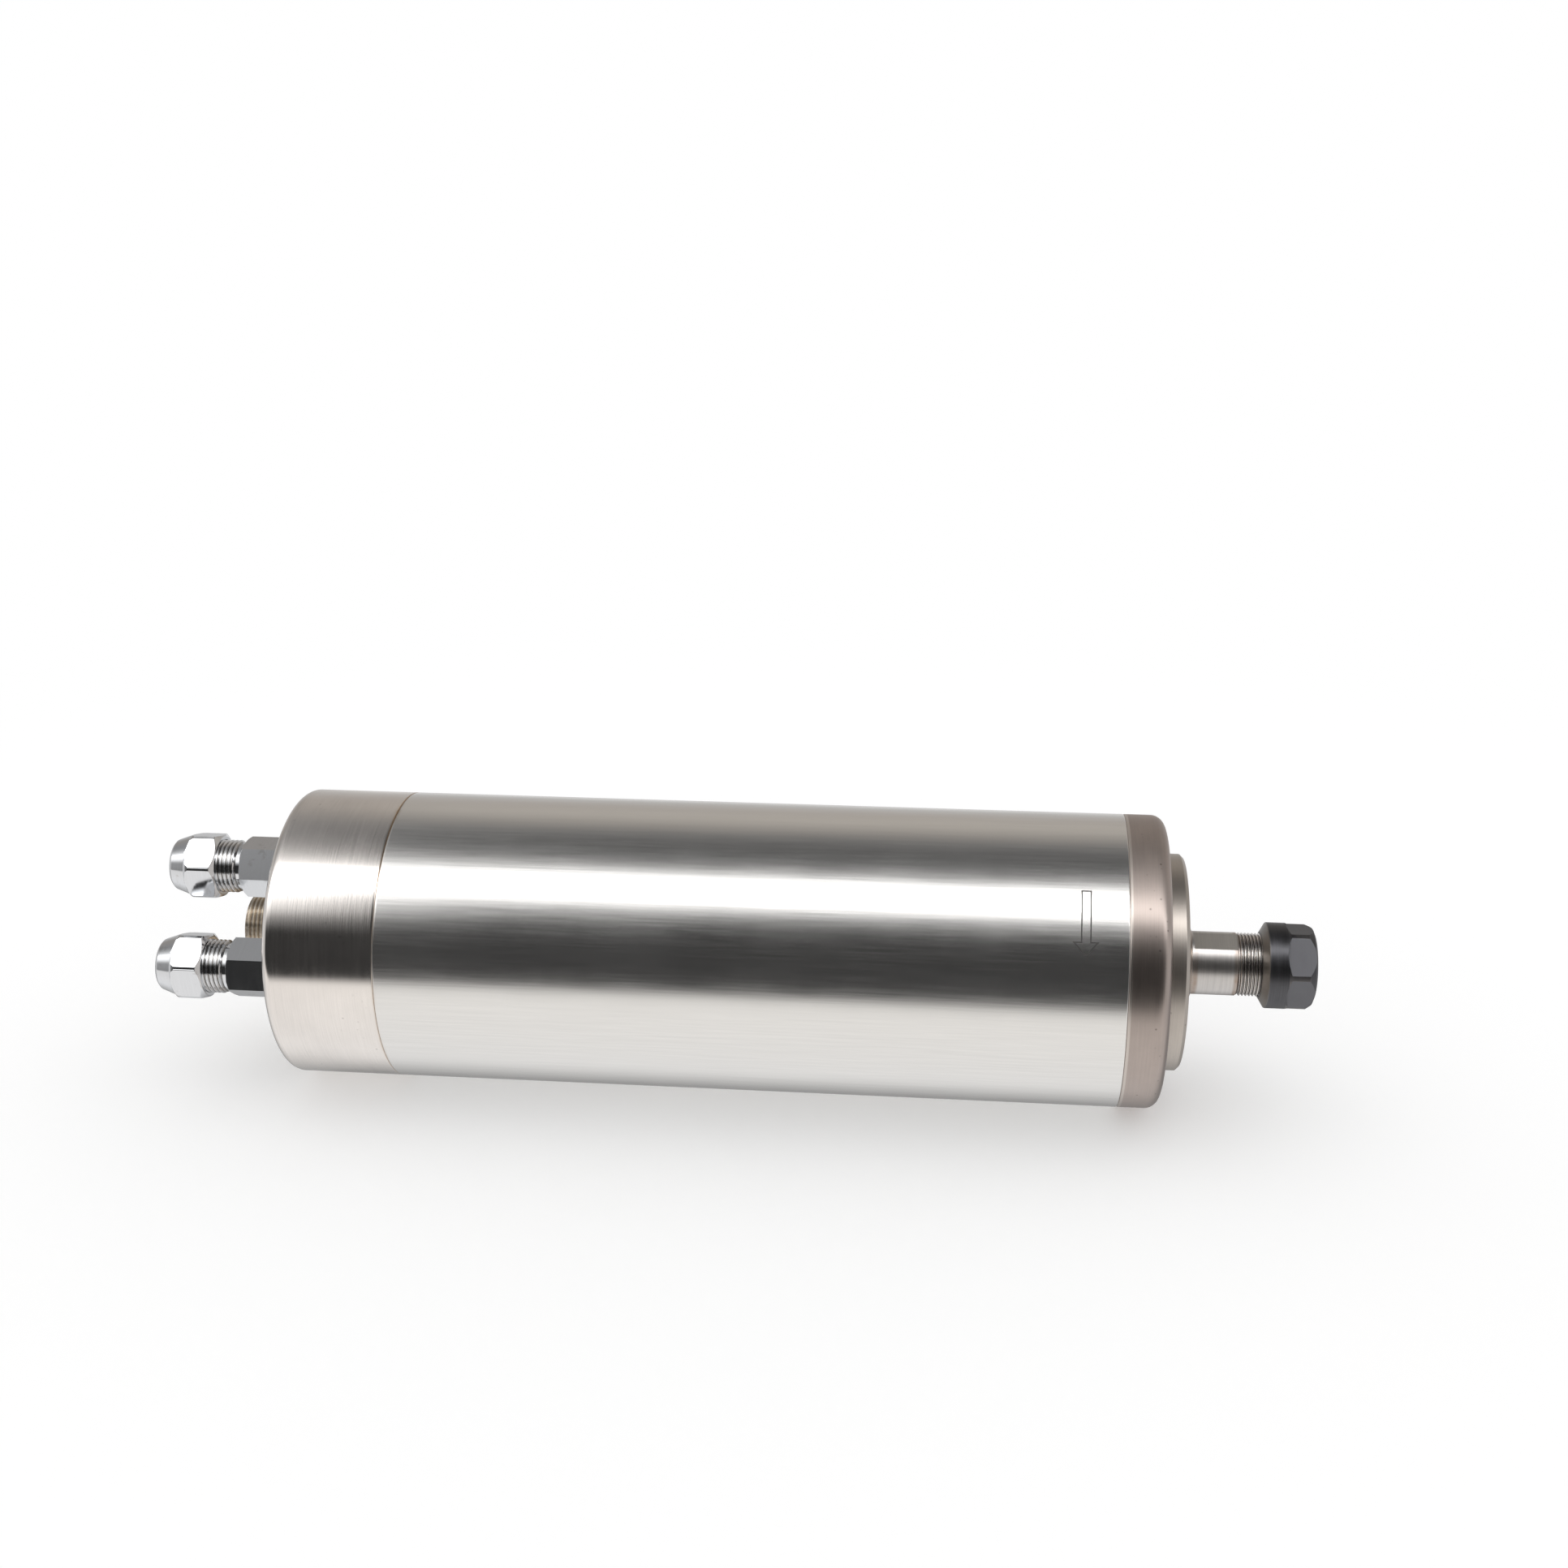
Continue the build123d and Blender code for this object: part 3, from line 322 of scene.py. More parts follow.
def plain(name, base, rough):
    """A moulded plastic or rubber: a colour, a fine texture and a soft shine."""
    material, tree, shader, place = new_material(name)
    fine = noise(tree, place, Scale=900.0, Detail=2.0)
    tint = ramp(tree, fine, (0.3, tuple(0.8 * c for c in base)), (0.7, base))
    fill(tree, shader.inputs["Base Color"], tint)
    fill(tree, shader.inputs["Roughness"], rough)
    roughened(tree, shader, fine, 0.1)
    return material


# %% [markdown]
# Some marks belong to one place: old oil in the rear seam, grease where the ring leaves the cover,
# rubbing at both ends of the shaft's land, a thread darker towards its root, and a pale line along
# the front seam that is a painted highlight. Each is a mask made from the place in mm, and most are
# broken up with the cloudy noise of the metal.

# %% Marks of use
def measured(tree, place, axis, centre=0.0, unit=MM):
    """The place along one axis, measured from a centre, in mm or in another unit."""
    here = add(tree, "ShaderNodeSeparateXYZ", {0: place}).outputs[axis]
    return maths(tree, "MULTIPLY_ADD", here, 1.0 / unit, -centre)


def off_x(tree, place, centre):
    """Distance in mm along X from a centre, to either side."""
    return maths(tree, "ABSOLUTE", measured(tree, place, "X", centre))


def height_share(tree, place):
    """Height over the axis, from 0 to 1 at the top of the casing."""
    return measured(tree, place, "Z", unit=TUBE_R * MM)


def from_axis(tree, place, centre=AXIS):
    """Distance in mm from an axis parallel to X."""
    y, z = (maths(tree, "POWER", measured(tree, place, axis, middle), 2.0)
            for axis, middle in zip("YZ", centre))
    return maths(tree, "SQRT", maths(tree, "ADD", y, z))


def broken(tree, mask, cloud, low, high):
    """A mask that shows only in patches."""
    return maths(tree, "MULTIPLY", mask, ramp(tree, cloud, (low, 0.0), (high, 1.0)))


def seam_oil(tree, place, cloud):
    """Old oil in the seam between the rear end and the tube, thicker in places."""
    off = off_x(tree, place, REAR_SEAM)
    upper = ramp(tree, height_share(tree, place), (0.55, 0.32), (0.95, 1.0))
    line = maths(tree, "MULTIPLY", ramp(tree, off, (0.08, 0.80), (0.34, 0.0)), upper)
    bloom = broken(tree, ramp(tree, off, (0.0, 0.55), (1.4, 0.0), smooth=True), cloud, 0.50, 0.60)
    bloom = maths(tree, "MULTIPLY", bloom, upper)
    return ((bloom, (0.52, 0.40, 0.28)), (line, (0.42, 0.28, 0.15)))


def line_at(centre, near, far, tone):
    """One line of colour round a piece: grease at the ring, or a painted highlight along the front
    seam. near and far are (distance, share).
    """
    def marks(tree, place, cloud):
        return ((ramp(tree, off_x(tree, place, centre), near, far), tone),)
    return marks


def shaft_rub(tree, place, cloud):
    """Brown rubbing at the two ends of the land between the ring and the thread."""
    land_end = 105.7
    root = ramp(tree, off_x(tree, place, RING_FRONT + 0.6), (0.2, 0.75), (2.4, 0.0), smooth=True)
    end = ramp(tree, off_x(tree, place, land_end), (0.2, 0.8), (0.9, 0.0), smooth=True)
    both = maths(tree, "MAXIMUM", root, end)
    return ((broken(tree, both, cloud, 0.40, 0.62), (0.30, 0.19, 0.12)),)


def darker_at_root(radius, depth, centre, root_tone, amount):
    """Darkens a thread's colour towards its root."""
    def marks(tree, place, cloud):
        low = maths(tree, "SUBTRACT", radius, from_axis(tree, place, centre))
        down = maths(tree, "DIVIDE", low, depth)
        return ((ramp(tree, down, (0.25, 0.0), (0.85, amount)), root_tone),)
    return marks


def hazy(low, high, amount):
    """More roughness towards the top, where a piece was polished less. low and high are heights."""
    def haze(tree, place):
        dulled = ramp(tree, height_share(tree, place), (low, 0.0), (high, 1.0))
        return maths(tree, "MULTIPLY", dulled, amount)
    return haze


def worn_nut(tree, place, cloud):
    """The black finish is rubbed off the nut's corners and its back edge."""
    skirt_end, corner_r, back_edge, bore_r = 116.65, 9.36, 111.75, 7.0
    radius = from_axis(tree, place)
    out = maths(tree, "SUBTRACT", radius, corner_r)
    past_skirt = maths(tree, "GREATER_THAN", measured(tree, place, "X"), skirt_end)
    corner = maths(tree, "MULTIPLY", ramp(tree, out, (0.04, 0.0), (0.12, 0.4)), past_skirt)
    off_bore = maths(tree, "SUBTRACT", radius, bore_r)
    edge = ramp(tree, off_x(tree, place, back_edge), (0.5, 0.85), (0.8, 0.0))
    back = maths(tree, "MULTIPLY", edge, ramp(tree, off_bore, (0.1, 0.0), (0.5, 1.0)))
    return ((broken(tree, corner, cloud, 0.30, 0.55), (0.34, 0.32, 0.31)),
            (broken(tree, back, cloud, 0.25, 0.50), (0.40, 0.37, 0.34)))


# %% [markdown]
# The colours are those of the bare metals, and the light does the rest. Polished steel and nickel
# are pale, ground steel is greyer, and black oxide is a dark metal and not a paint. Roughness
# matters most: it decides how sharp the bands of the room look on each piece.

# %% Finishes
METALS = {
    "tube": metal("polished_tube", (0.86, 0.845, 0.825), 0.20, grain=0.05, along=True, bump=0.04,
                  rough_spread=0.06, marks=seam_oil),
    "rear": metal("nickel_rear", (0.93, 0.88, 0.84), 0.11, grain=0.06, blotch=0.08, bump=0.05,
                  rough_spread=0.07, specks=0.25, marks=seam_oil, haze=hazy(0.74, 0.90, 0.09)),
    # The pale line along the front seam is a painted highlight on its rounded edge.
    "front": metal("satin_front", (0.505, 0.432, 0.396), 0.28, grain=0.08, blotch=0.14, bump=0.12,
                   specks=0.5, haze=hazy(0.56, 0.82, 0.17), marks=line_at(
                       FRONT_SEAM + 0.3, (0.25, 0.7), (0.45, 0.0), (0.70, 0.64, 0.59))),
    "cover": metal("satin_cover", (0.60, 0.545, 0.495), 0.35, grain=0.10, blotch=0.16, bump=0.12,
                   specks=0.6),
    "shaft": metal("ground_shaft", (0.68, 0.65, 0.63), 0.31, grain=0.14, bump=0.15, blotch=0.12,
                   marks=shaft_rub),
    "shaft_flat": metal("ground_flat", (0.66, 0.63, 0.59), 0.42, grain=0.10, bump=0.10),
    "shaft_thread": metal("shaft_thread", (0.86, 0.82, 0.79), 0.22, grain=0.06,
                          marks=darker_at_root(CREST, CREST - CORE, AXIS, (0.07, 0.05, 0.04), 1.0)),
    "ring": metal("ring_steel", (0.74, 0.71, 0.68), 0.16, grain=0.10, bump=0.10,
                  marks=line_at(RING_FRONT - 0.4, (0.10, 0.85), (0.40, 0.0), (0.22, 0.13, 0.07))),
    "screw": metal("screw_steel", (0.60, 0.58, 0.57), 0.22, blotch=0.15, grain=0.08),
    "oxide": metal("black_oxide", (0.130, 0.129, 0.138), 0.31, grain=0.20, bump=0.12, blotch=0.30,
                   rough_spread=0.14, marks=worn_nut),
    "oxide_flat": metal("black_oxide_flat", (0.190, 0.190, 0.203), 0.46, grain=0.08, bump=0.06,
                        blotch=0.18, rough_spread=0.10),
    "blacked": metal("blacked_screw", (0.13, 0.13, 0.14), 0.30, blotch=0.2, grain=0.1),
    "chrome": metal("plated_chrome", (0.80, 0.81, 0.83), 0.06, grain=0.04, bump=0.03,
                    rough_spread=0.05, specks=0.1, stain=(0.52, 0.50, 0.47), stain_share=0.12),
    "brass": metal("nickel_brass", (0.88, 0.81, 0.71), 0.21, grain=0.08, bump=0.08, blotch=0.10,
                   marks=darker_at_root(8.0, 0.6, SOCKET_PLACE, (0.36, 0.27, 0.18), 0.55)),
    "contact": metal("contact_brass", (0.86, 0.66, 0.36), 0.20, grain=0.06, bump=0.05),
    "cast": metal("cast_aluminium", (0.62, 0.62, 0.62), 0.42, blotch=0.12, bump=0.2),
    "lamination": metal("laminated_steel", (0.38, 0.38, 0.40), 0.45, grain=0.35, bump=0.4),
    "copper": metal("enamelled_copper", (0.62, 0.26, 0.12), 0.28, grain=0.3, bump=0.3),
    "bearing": metal("bearing_steel", (0.72, 0.72, 0.73), 0.12, grain=0.05, bump=0.05),
    "rubber": plain("seal_rubber", (0.030, 0.030, 0.032), 0.62),
    "insulator": plain("insulator", (0.035, 0.034, 0.033), 0.45),
    "silicone": plain("lead_silicone", (0.45, 0.07, 0.05), 0.50),
    "etch": plain("laser_etch", (0.055, 0.050, 0.048), 0.60),
}
for letter, port in PORT_PLACES.items():
    METALS["thread_" + letter] = metal("chrome_thread_" + letter, (0.80, 0.80, 0.81), 0.12,
                                       marks=darker_at_root(6.0, 0.6, port, (0.22, 0.20, 0.17), 0.75))
print(len(METALS), "finishes")

# %% [markdown]
# The pieces inside the casing stay as they came from the drawing, and only take their finish:
# bare steel on the laminations, orange enamel on the copper, red silicone on the leads.

# %% Finishes of the hidden pieces
SLOT_FINISH = {
    "tube_steel": "tube", "front_cap_metal": "front", "rear_cap_metal": "rear",
    "jacket_aluminium": "cast", "cast_aluminium": "cast", "lamination_steel": "lamination",
    "enamelled_copper": "copper", "ground_steel": "shaft", "polished_steel": "ring",
    "bearing_steel": "bearing", "black_oxide": "oxide", "screw_steel": "screw",
    "plated_chrome": "chrome", "nickel_brass": "brass", "contact_brass": "contact",
    "ferrule_brass": "contact", "seal_rubber": "rubber", "insulator_black": "insulator",
    "lead_silicone": "silicone",
}
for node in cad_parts.values():
    for place_in_list, material in enumerate(node.data.materials):
        name = material.name.split(".")[0] if material else "bearing_steel"
        node.material_slots[place_in_list].material = METALS[SLOT_FINISH[name]]
print(len(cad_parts), "drawn pieces have their finish")


# %% [markdown]
# Turning is a profile carried round an axis. A lathe hand breaks every corner a little, and these
# small roundings catch the light, so the helper rounds each corner of the profile on its own.

# %% Turning
COLUMNS = 144
WELD = 2e-7


def eased(points, default):
    """The profile with its corners rounded. A point's third number is its own rounding."""
    out = [tuple(points[0][:2])]
    for before, point, after in zip(points, points[1:], points[2:]):
        here = Vector(point[:2])
        back, on = Vector(before[:2]) - here, Vector(after[:2]) - here
        radius = point[2] if len(point) > 2 else default
        corner = back.angle(on)
        if radius <= 0.0 or not math.radians(8) < corner < math.radians(172):
            out.append(tuple(here))
            continue
        run = min(radius / math.tan(corner / 2), 0.45 * back.length, 0.45 * on.length)
        radius = run * math.tan(corner / 2)
        start, end = here + back.normalized() * run, here + on.normalized() * run
        centre = here + (back.normalized() + on.normalized()).normalized() * (
            radius / math.sin(corner / 2))
        spare = min(0.3, 0.3 * (back.length - run), 0.3 * (on.length - run))
        a, b = start - centre, end - centre
        sweep = a.angle(b) * (1.0 if a.x * b.y > a.y * b.x else -1.0)
        steps = 4 if radius < 1.0 else 8
        out.append(tuple(start + back.normalized() * spare))
        for step in range(steps + 1):
            t = sweep * step / steps
            out.append((centre.x + a.x * math.cos(t) - a.y * math.sin(t),
                        centre.y + a.x * math.sin(t) + a.y * math.cos(t)))
        out.append(tuple(end + on.normalized() * spare))
    return out + [tuple(points[-1][:2])]


def closed(bm):
    """Welds the seam and the poles and turns the faces outwards."""
    bmesh.ops.remove_doubles(bm, verts=bm.verts, dist=WELD)
    bmesh.ops.dissolve_degenerate(bm, edges=bm.edges, dist=1e-7)
    bmesh.ops.recalc_face_normals(bm, faces=bm.faces)


def as_mesh(bm, name):
    """The closed shape as a new mesh."""
    closed(bm)
    mesh = bpy.data.meshes.new(name)
    bm.to_mesh(mesh)
    bm.free()
    return mesh


def skinned(bm, sections):
    """Joins each closed section to the next one with faces, and the last to the first."""
    for this, following in zip(sections, sections[1:] + sections[:1]):
        for i in range(len(this)):
            j = (i + 1) % len(this)
            bm.faces.new((this[i], this[j], following[j], following[i]))


def turned(name, outer, bore=(), centre=AXIS, ease=0.12, columns=COLUMNS, first=0.0):
    """A closed mesh turned about an axis parallel to X through centre, in mm.
    The outer profile runs along +X and the bore's profile runs back along -X."""
    loop = eased(list(outer), ease) + (eased(list(bore), ease) if bore else [])
    bm = bmesh.new()
    rings = []
    for i in range(columns):
        angle_now = math.radians(first) + 2 * math.pi * i / columns
        c, s = math.cos(angle_now), math.sin(angle_now)
        rings.append([bm.verts.new((x * MM, (centre[0] + r * c) * MM, (centre[1] + r * s) * MM))
                      for x, r in loop])
    skinned(bm, rings)
    return as_mesh(bm, name)


# %% [markdown]
# Milled shapes are cut out of turned ones, as on the real machine: a block takes away a flat, and
# a ring with a six-sided hole leaves a hexagon, whose flats end in curves where they meet a
# chamfer. Exact Booleans keep such edges crisp. Afterwards only true edges are marked sharp.

# %% Milling
COS_30 = math.cos(math.pi / 6)
SAME_WAY, SAME_PLANE = 0.9999, 2e-6
BROKEN_EDGE = 0.05


def block(low_corner, high_corner, angle, centre=AXIS):
    """A box given in mm by two corners, turned by angle about the axis through centre."""
    bm = bmesh.new()
    bmesh.ops.create_cube(bm, size=1.0)
    c, s = math.cos(math.radians(angle)), math.sin(math.radians(angle))
    for vertex in bm.verts:
        x, y, z = ((a + b) / 2 + v * (b - a)
                   for v, a, b in zip(vertex.co, low_corner, high_corner))
        vertex.co = (x * MM, (centre[0] + y * c - z * s) * MM, (centre[1] + y * s + z * c) * MM)
    return as_mesh(bm, "block")


def drill(start, end, radius, centre, columns):
    """The room that a drill takes, along X between two places. Six columns make a hexagon."""
    return turned("drill", [(start, 0.0), (start, radius), (end, radius), (end, 0.0)],
                  centre=centre, ease=0.0, columns=columns)


def hexagon_cutter(start, end, half, angle, centre, outside=16.0):
    """A ring round the axis whose hole is a hexagon, half its width across the flats."""
    corner = half / COS_30
    return turned("hexagon", [(start, corner), (start, outside), (end, outside), (end, corner)],
                  centre=centre, ease=0.0, columns=6, first=angle + 30.0)


def round_ended_flat(start, end, half, angle, mill_r=10.5, width=7.0, thick=3.0):
    """A slab that mills one flat from the front, whose end is the curve of a big end mill."""
    outline = []
    for step in range(25):
        t = width * (step / 12 - 1.0)
        outline.append((start + mill_r - math.sqrt(mill_r * mill_r - t * t), t))
    outline += [(end, width), (end, -width)]
    c, s = math.cos(math.radians(angle)), math.sin(math.radians(angle))
    bm = bmesh.new()
    low, high = ([bm.verts.new((x * MM, (out * c - t * s) * MM, (out * s + t * c) * MM))
                  for x, t in outline] for out in (half, half + thick))
    bm.faces.new(low)
    bm.faces.new(high[::-1])
    for i in range(len(outline)):
        j = (i + 1) % len(outline)
        bm.faces.new((low[i], high[i], high[j], low[j]))
    return as_mesh(bm, "flat")


def plain_mesh(holder):
    """The mesh that an object's modifiers give. The object and its modifiers are removed."""
    graph = bpy.context.evaluated_depsgraph_get()
    mesh = bpy.data.meshes.new_from_object(holder.evaluated_get(graph), depsgraph=graph)
    bpy.data.objects.remove(holder)
    return mesh


def carved(mesh, *cutters, operation="DIFFERENCE"):
    """The mesh with each cutter taken away, or added for a UNION."""
    holder = linked(mesh.name, mesh)
    tools = [linked("cutter", cutter) for cutter in cutters]
    for tool in tools:
        boolean = holder.modifiers.new("cut", "BOOLEAN")
        boolean.operation = operation
        boolean.solver = "EXACT"
        boolean.object = tool
    result = plain_mesh(holder)
    for tool in tools:
        bpy.data.objects.remove(tool)
    result.name = mesh.name
    return result


def in_planes(normal, middle, planes):
    """Whether a face with this normal and middle lies in one of the (normal, distance) planes."""
    return any(normal.dot(Vector(way)) > SAME_WAY
               and abs(middle.dot(Vector(way)) - distance * MM) < SAME_PLANE
               for way, distance in planes)


def edged(mesh, flats=(), sharp=25.0):
    """Smooth shading with sharp edges where the shape turns. Each of the flats is a
    (normal, distance) plane, whose outline is marked for the bevel that breaks its edges."""
    bm = bmesh.new()
    bm.from_mesh(mesh)
    closed(bm)
    milled = {face for face in bm.faces
              if in_planes(face.normal, face.calc_center_median(), flats)}
    layers = bm.edges.layers.float
    layer = layers.get("bevel_weight_edge") or layers.new("bevel_weight_edge")
    for face in bm.faces:
        face.smooth = True
    for edge in bm.edges:
        sides = [face in milled for face in edge.link_faces]
        edge[layer] = 1.0 if any(sides) and not all(sides) else 0.0
        edge.smooth = (len(sides) == 2 and not edge[layer]
                       and edge.calc_face_angle(0.0) < math.radians(sharp))
    bm.to_mesh(mesh)
    bm.free()
    return mesh


def finished(mesh, finish, milled_finish=None, flats=()):
    """Gives a mesh its finish, and a second one to its milled flats."""
    mesh.materials.clear()
    mesh.materials.append(METALS[finish])
    if milled_finish:
        mesh.materials.append(METALS[milled_finish])
        for face in mesh.polygons:
            if in_planes(face.normal, face.center, flats):
                face.material_index = 1
    return mesh


def around(angle, half, number, centre=AXIS):
    """The planes of flats that stand evenly round an axis."""
    planes = []
    for k in range(number):
        t = math.radians(angle) + 2 * math.pi * k / number
        normal = (0.0, math.cos(t), math.sin(t))
        planes.append((normal, half + centre[0] * normal[1] + centre[1] * normal[2]))
    return planes


def new_piece(name, mesh, finish, body, *nodes, slot=None, broken_edge=0.0):
    """Links a mesh as a piece with its finishes, on its body, in place of its CAD nodes."""
    piece = linked(name, mesh)
    if finish:
        finished(mesh, finish)
    if broken_edge:
        bevel = piece.modifiers.new("broken_edges", "BEVEL")
        bevel.width = broken_edge * MM
        bevel.segments = 2
        bevel.limit_method = "WEIGHT"
        bevel.use_clamp_overlap = False
    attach(piece, body)
    if nodes:
        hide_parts(*nodes)
    return piece


# %% [markdown]
# A thread is one ridge wound round a core. Its shape follows a rule, so Geometry Nodes can wind
# it: five points across a grid trace the ridge and close it underneath, and its height sinks to
# nothing at both ends, where a real thread runs out. One tree with named sizes serves the shaft,
# both fittings and the connector.

# %% Thread tree
def new_tree(name, **kinds):
    """An empty Geometry Nodes tree with named inputs. Returns the tree and its input node."""
    tree = bpy.data.node_groups.new(name, "GeometryNodeTree")
    tree.is_modifier = True
    for label, kind in kinds.items():
        tree.interface.new_socket(label.replace("_", " "), in_out="INPUT",
                                  socket_type="NodeSocket" + kind)
    tree.interface.new_socket("Mesh", in_out="OUTPUT", socket_type="NodeSocketGeometry")
    return tree, tree.nodes.new("NodeGroupInput")


def ended(tree, geometry, given):
    """Closes a tree: instances become real, and take the material that the input names."""
    real = add(tree, "GeometryNodeRealizeInstances", {0: geometry}).outputs[0]
    coated = add(tree, "GeometryNodeSetMaterial",
                 {"Geometry": real, "Material": given.outputs["Material"]}).outputs[0]
    add(tree, "NodeGroupOutput", {0: coated})


def grown(name, tree, **values):
    """Runs a tree with these values and returns its result as a plain mesh."""
    holder = linked(name, bpy.data.meshes.new(name))
    modifier = holder.modifiers.new(name, "NODES")
    modifier.node_group = tree
    for socket in tree.interface.items_tree:
        if socket.in_out == "INPUT":
            modifier[socket.identifier] = values[socket.name.replace(" ", "_")]
    return plain_mesh(holder)


def in_metres(tree, vector):
    """A place in mm turned to metres."""
    return add(tree, "ShaderNodeVectorMath", {0: vector, "Scale": MM}, operation="SCALE").outputs[0]


def choose(tree, index, values):
    """A number picked from a list by an index."""
    node = add(tree, "GeometryNodeIndexSwitch", data_type="FLOAT")
    while len(node.index_switch_items) < len(values):
        node.index_switch_items.new()
    for socket, value in zip(node.inputs, (index, *values)):
        fill(tree, socket, value)
    return node.outputs[0]


winding, given = new_tree(
    "wound_thread", Start="Float", End="Float", Pitch="Float", Crest="Float", Root="Float",
    Columns="Int", Flat="Float", Flat_angle="Float", Centre="Vector", Material="Material")
size = given.outputs
ACROSS = 5
SHARES = (0.05, 0.44, 0.56, 0.95, 0.05)
SUNK, RUN_OUT = 0.02, 1.5


def calc(operation, *values):
    """One Math node of the thread tree."""
    return maths(winding, operation, *values)


length = calc("SUBTRACT", size["End"], size["Start"])
turns = calc("ADD", calc("DIVIDE", length, size["Pitch"]), 1.0)
long_way = calc("ADD", calc("FLOOR", calc("MULTIPLY", turns, size["Columns"])), 1.0)
grid = add(winding, "GeometryNodeMeshGrid", {"Vertices X": long_way, "Vertices Y": ACROSS})
number = add(winding, "GeometryNodeInputIndex").outputs[0]
across = calc("MODULO", number, float(ACROSS))
row = calc("FLOOR", calc("DIVIDE", calc("ADD", number, 0.5), float(ACROSS)))
turned_by = calc("DIVIDE", row, size["Columns"])
under = calc("SUBTRACT", size["Root"], SUNK)
share = choose(winding, across, SHARES)
height = choose(winding, across, (under, size["Crest"], size["Crest"], under, under))
wound = calc("MULTIPLY_ADD", size["Pitch"],
             calc("SUBTRACT", calc("ADD", turned_by, share), 1.0), size["Start"])
x = calc("MINIMUM", calc("MAXIMUM", wound, size["Start"]), size["End"])
to_end = calc("MINIMUM", calc("SUBTRACT", x, size["Start"]), calc("SUBTRACT", size["End"], x))
run_out = calc("ADD", under, calc("MULTIPLY", to_end, RUN_OUT))
theta = calc("MULTIPLY", turned_by, 2 * math.pi)
from_flat = calc("SUBTRACT", theta, calc("RADIANS", size["Flat angle"]))
off_flat = calc("ABSOLUTE", calc("COSINE", from_flat))
flat_limit = calc("DIVIDE", size["Flat"], calc("MAXIMUM", off_flat, 0.01))
radius = calc("MINIMUM", calc("MINIMUM", height, run_out), flat_limit)
spot = add(winding, "ShaderNodeCombineXYZ", {
    "X": x, "Y": calc("MULTIPLY", radius, calc("COSINE", theta)),
    "Z": calc("MULTIPLY", radius, calc("SINE", theta))}).outputs[0]
centred = add(winding, "ShaderNodeVectorMath", {0: spot, 1: size["Centre"]}, operation="ADD")
moved = add(winding, "GeometryNodeSetPosition",
            {"Geometry": grid.outputs["Mesh"],
             "Position": in_metres(winding, centred.outputs[0])})
welded = add(winding, "GeometryNodeMergeByDistance",
             {"Geometry": moved.outputs[0], "Distance": WELD / 2})
ended(winding, welded.outputs[0], given)


NO_FLAT = 99.0


def thread(name, start, end, pitch, crest, root, finish, centre=AXIS, flat=NO_FLAT,
           flat_angle=0.0):
    """A wound thread as a plain mesh, with its finish."""
    return edged(grown(name, winding, Start=start, End=end, Pitch=pitch, Crest=crest,
                       Root=root, Columns=72, Flat=flat, Flat_angle=flat_angle,
                       Centre=(0.0, *centre), Material=METALS[finish]), sharp=20.0)


def with_thread(core, ridge, name):
    """The core and its thread as one mesh that keeps both finishes."""
    parts = [linked(name, mesh) for mesh in (core, ridge)]
    with bpy.context.temp_override(active_object=parts[0], object=parts[0],
                                   selected_objects=parts, selected_editable_objects=parts):
        bpy.ops.object.join()
    mesh = parts[0].data
    bpy.data.objects.remove(parts[0])
    mesh.name = name
    return mesh


# %% [markdown]
# Screws, pins and their holes come in rings. The second tree stands copies of one piece evenly
# round an axis, so the heads and their holes can't fall out of step.

# %% Ring tree
ring_tree, given = new_tree("ring_of_copies", Piece="Object", Number="Int", First_angle="Float",
                            Centre="Vector", Material="Material")
size = given.outputs
stands = add(ring_tree, "GeometryNodePoints",
             {"Count": size["Number"], "Position": in_metres(ring_tree, size["Centre"])})
step = maths(ring_tree, "DIVIDE", 2 * math.pi, size["Number"])
copy_number = add(ring_tree, "GeometryNodeInputIndex").outputs[0]
swing = maths(ring_tree, "MULTIPLY_ADD", copy_number, step,
              maths(ring_tree, "RADIANS", size["First angle"]))
spun = add(ring_tree, "ShaderNodeCombineXYZ", {"X": swing}).outputs[0]
model = add(ring_tree, "GeometryNodeObjectInfo", {"Object": size["Piece"]})
copies = add(ring_tree, "GeometryNodeInstanceOnPoints",
             {"Points": stands.outputs[0], "Instance": model.outputs["Geometry"],
              "Rotation": spun})
ended(ring_tree, copies.outputs[0], given)


def ring_of(mesh, number, first_angle, finish, centre=AXIS):
    """Copies of a mesh, modelled beyond the axis on the +Y side, as one plain mesh."""
    model_piece = linked(mesh.name + "_model", mesh)
    out = grown("ring_of_" + mesh.name, ring_tree, Piece=model_piece, Number=number,
                First_angle=first_angle, Centre=(0.0, *centre), Material=METALS[finish])
    bpy.data.objects.remove(model_piece)
    return out


# %% [markdown]
# The casing is three turned pieces in a row: the long rear end, the polished tube and the front
# end. Small roundings where they meet draw the two seams. The rear end then gets its holes: four
# counterbores for its screws, two ports and the opening of the connector.

# %% Casing
TUBE_BORE, SPIGOT_R = 30.5, 26.0
FINE_COLUMNS = 256
REAR_SCREWS = dict(number=4, first_angle=148.0)
REAR_CIRCLE = 27.9
tube_mesh = turned("tube", [
    (REAR_SEAM, TUBE_BORE, 0), (REAR_SEAM, TUBE_R, 0.25), (FRONT_SEAM, TUBE_R, 0.25),
    (FRONT_SEAM, TUBE_BORE, 0)], columns=FINE_COLUMNS)
new_piece("tube", edged(tube_mesh), "tube", "housing", "outer_tube", slot="tube_steel")

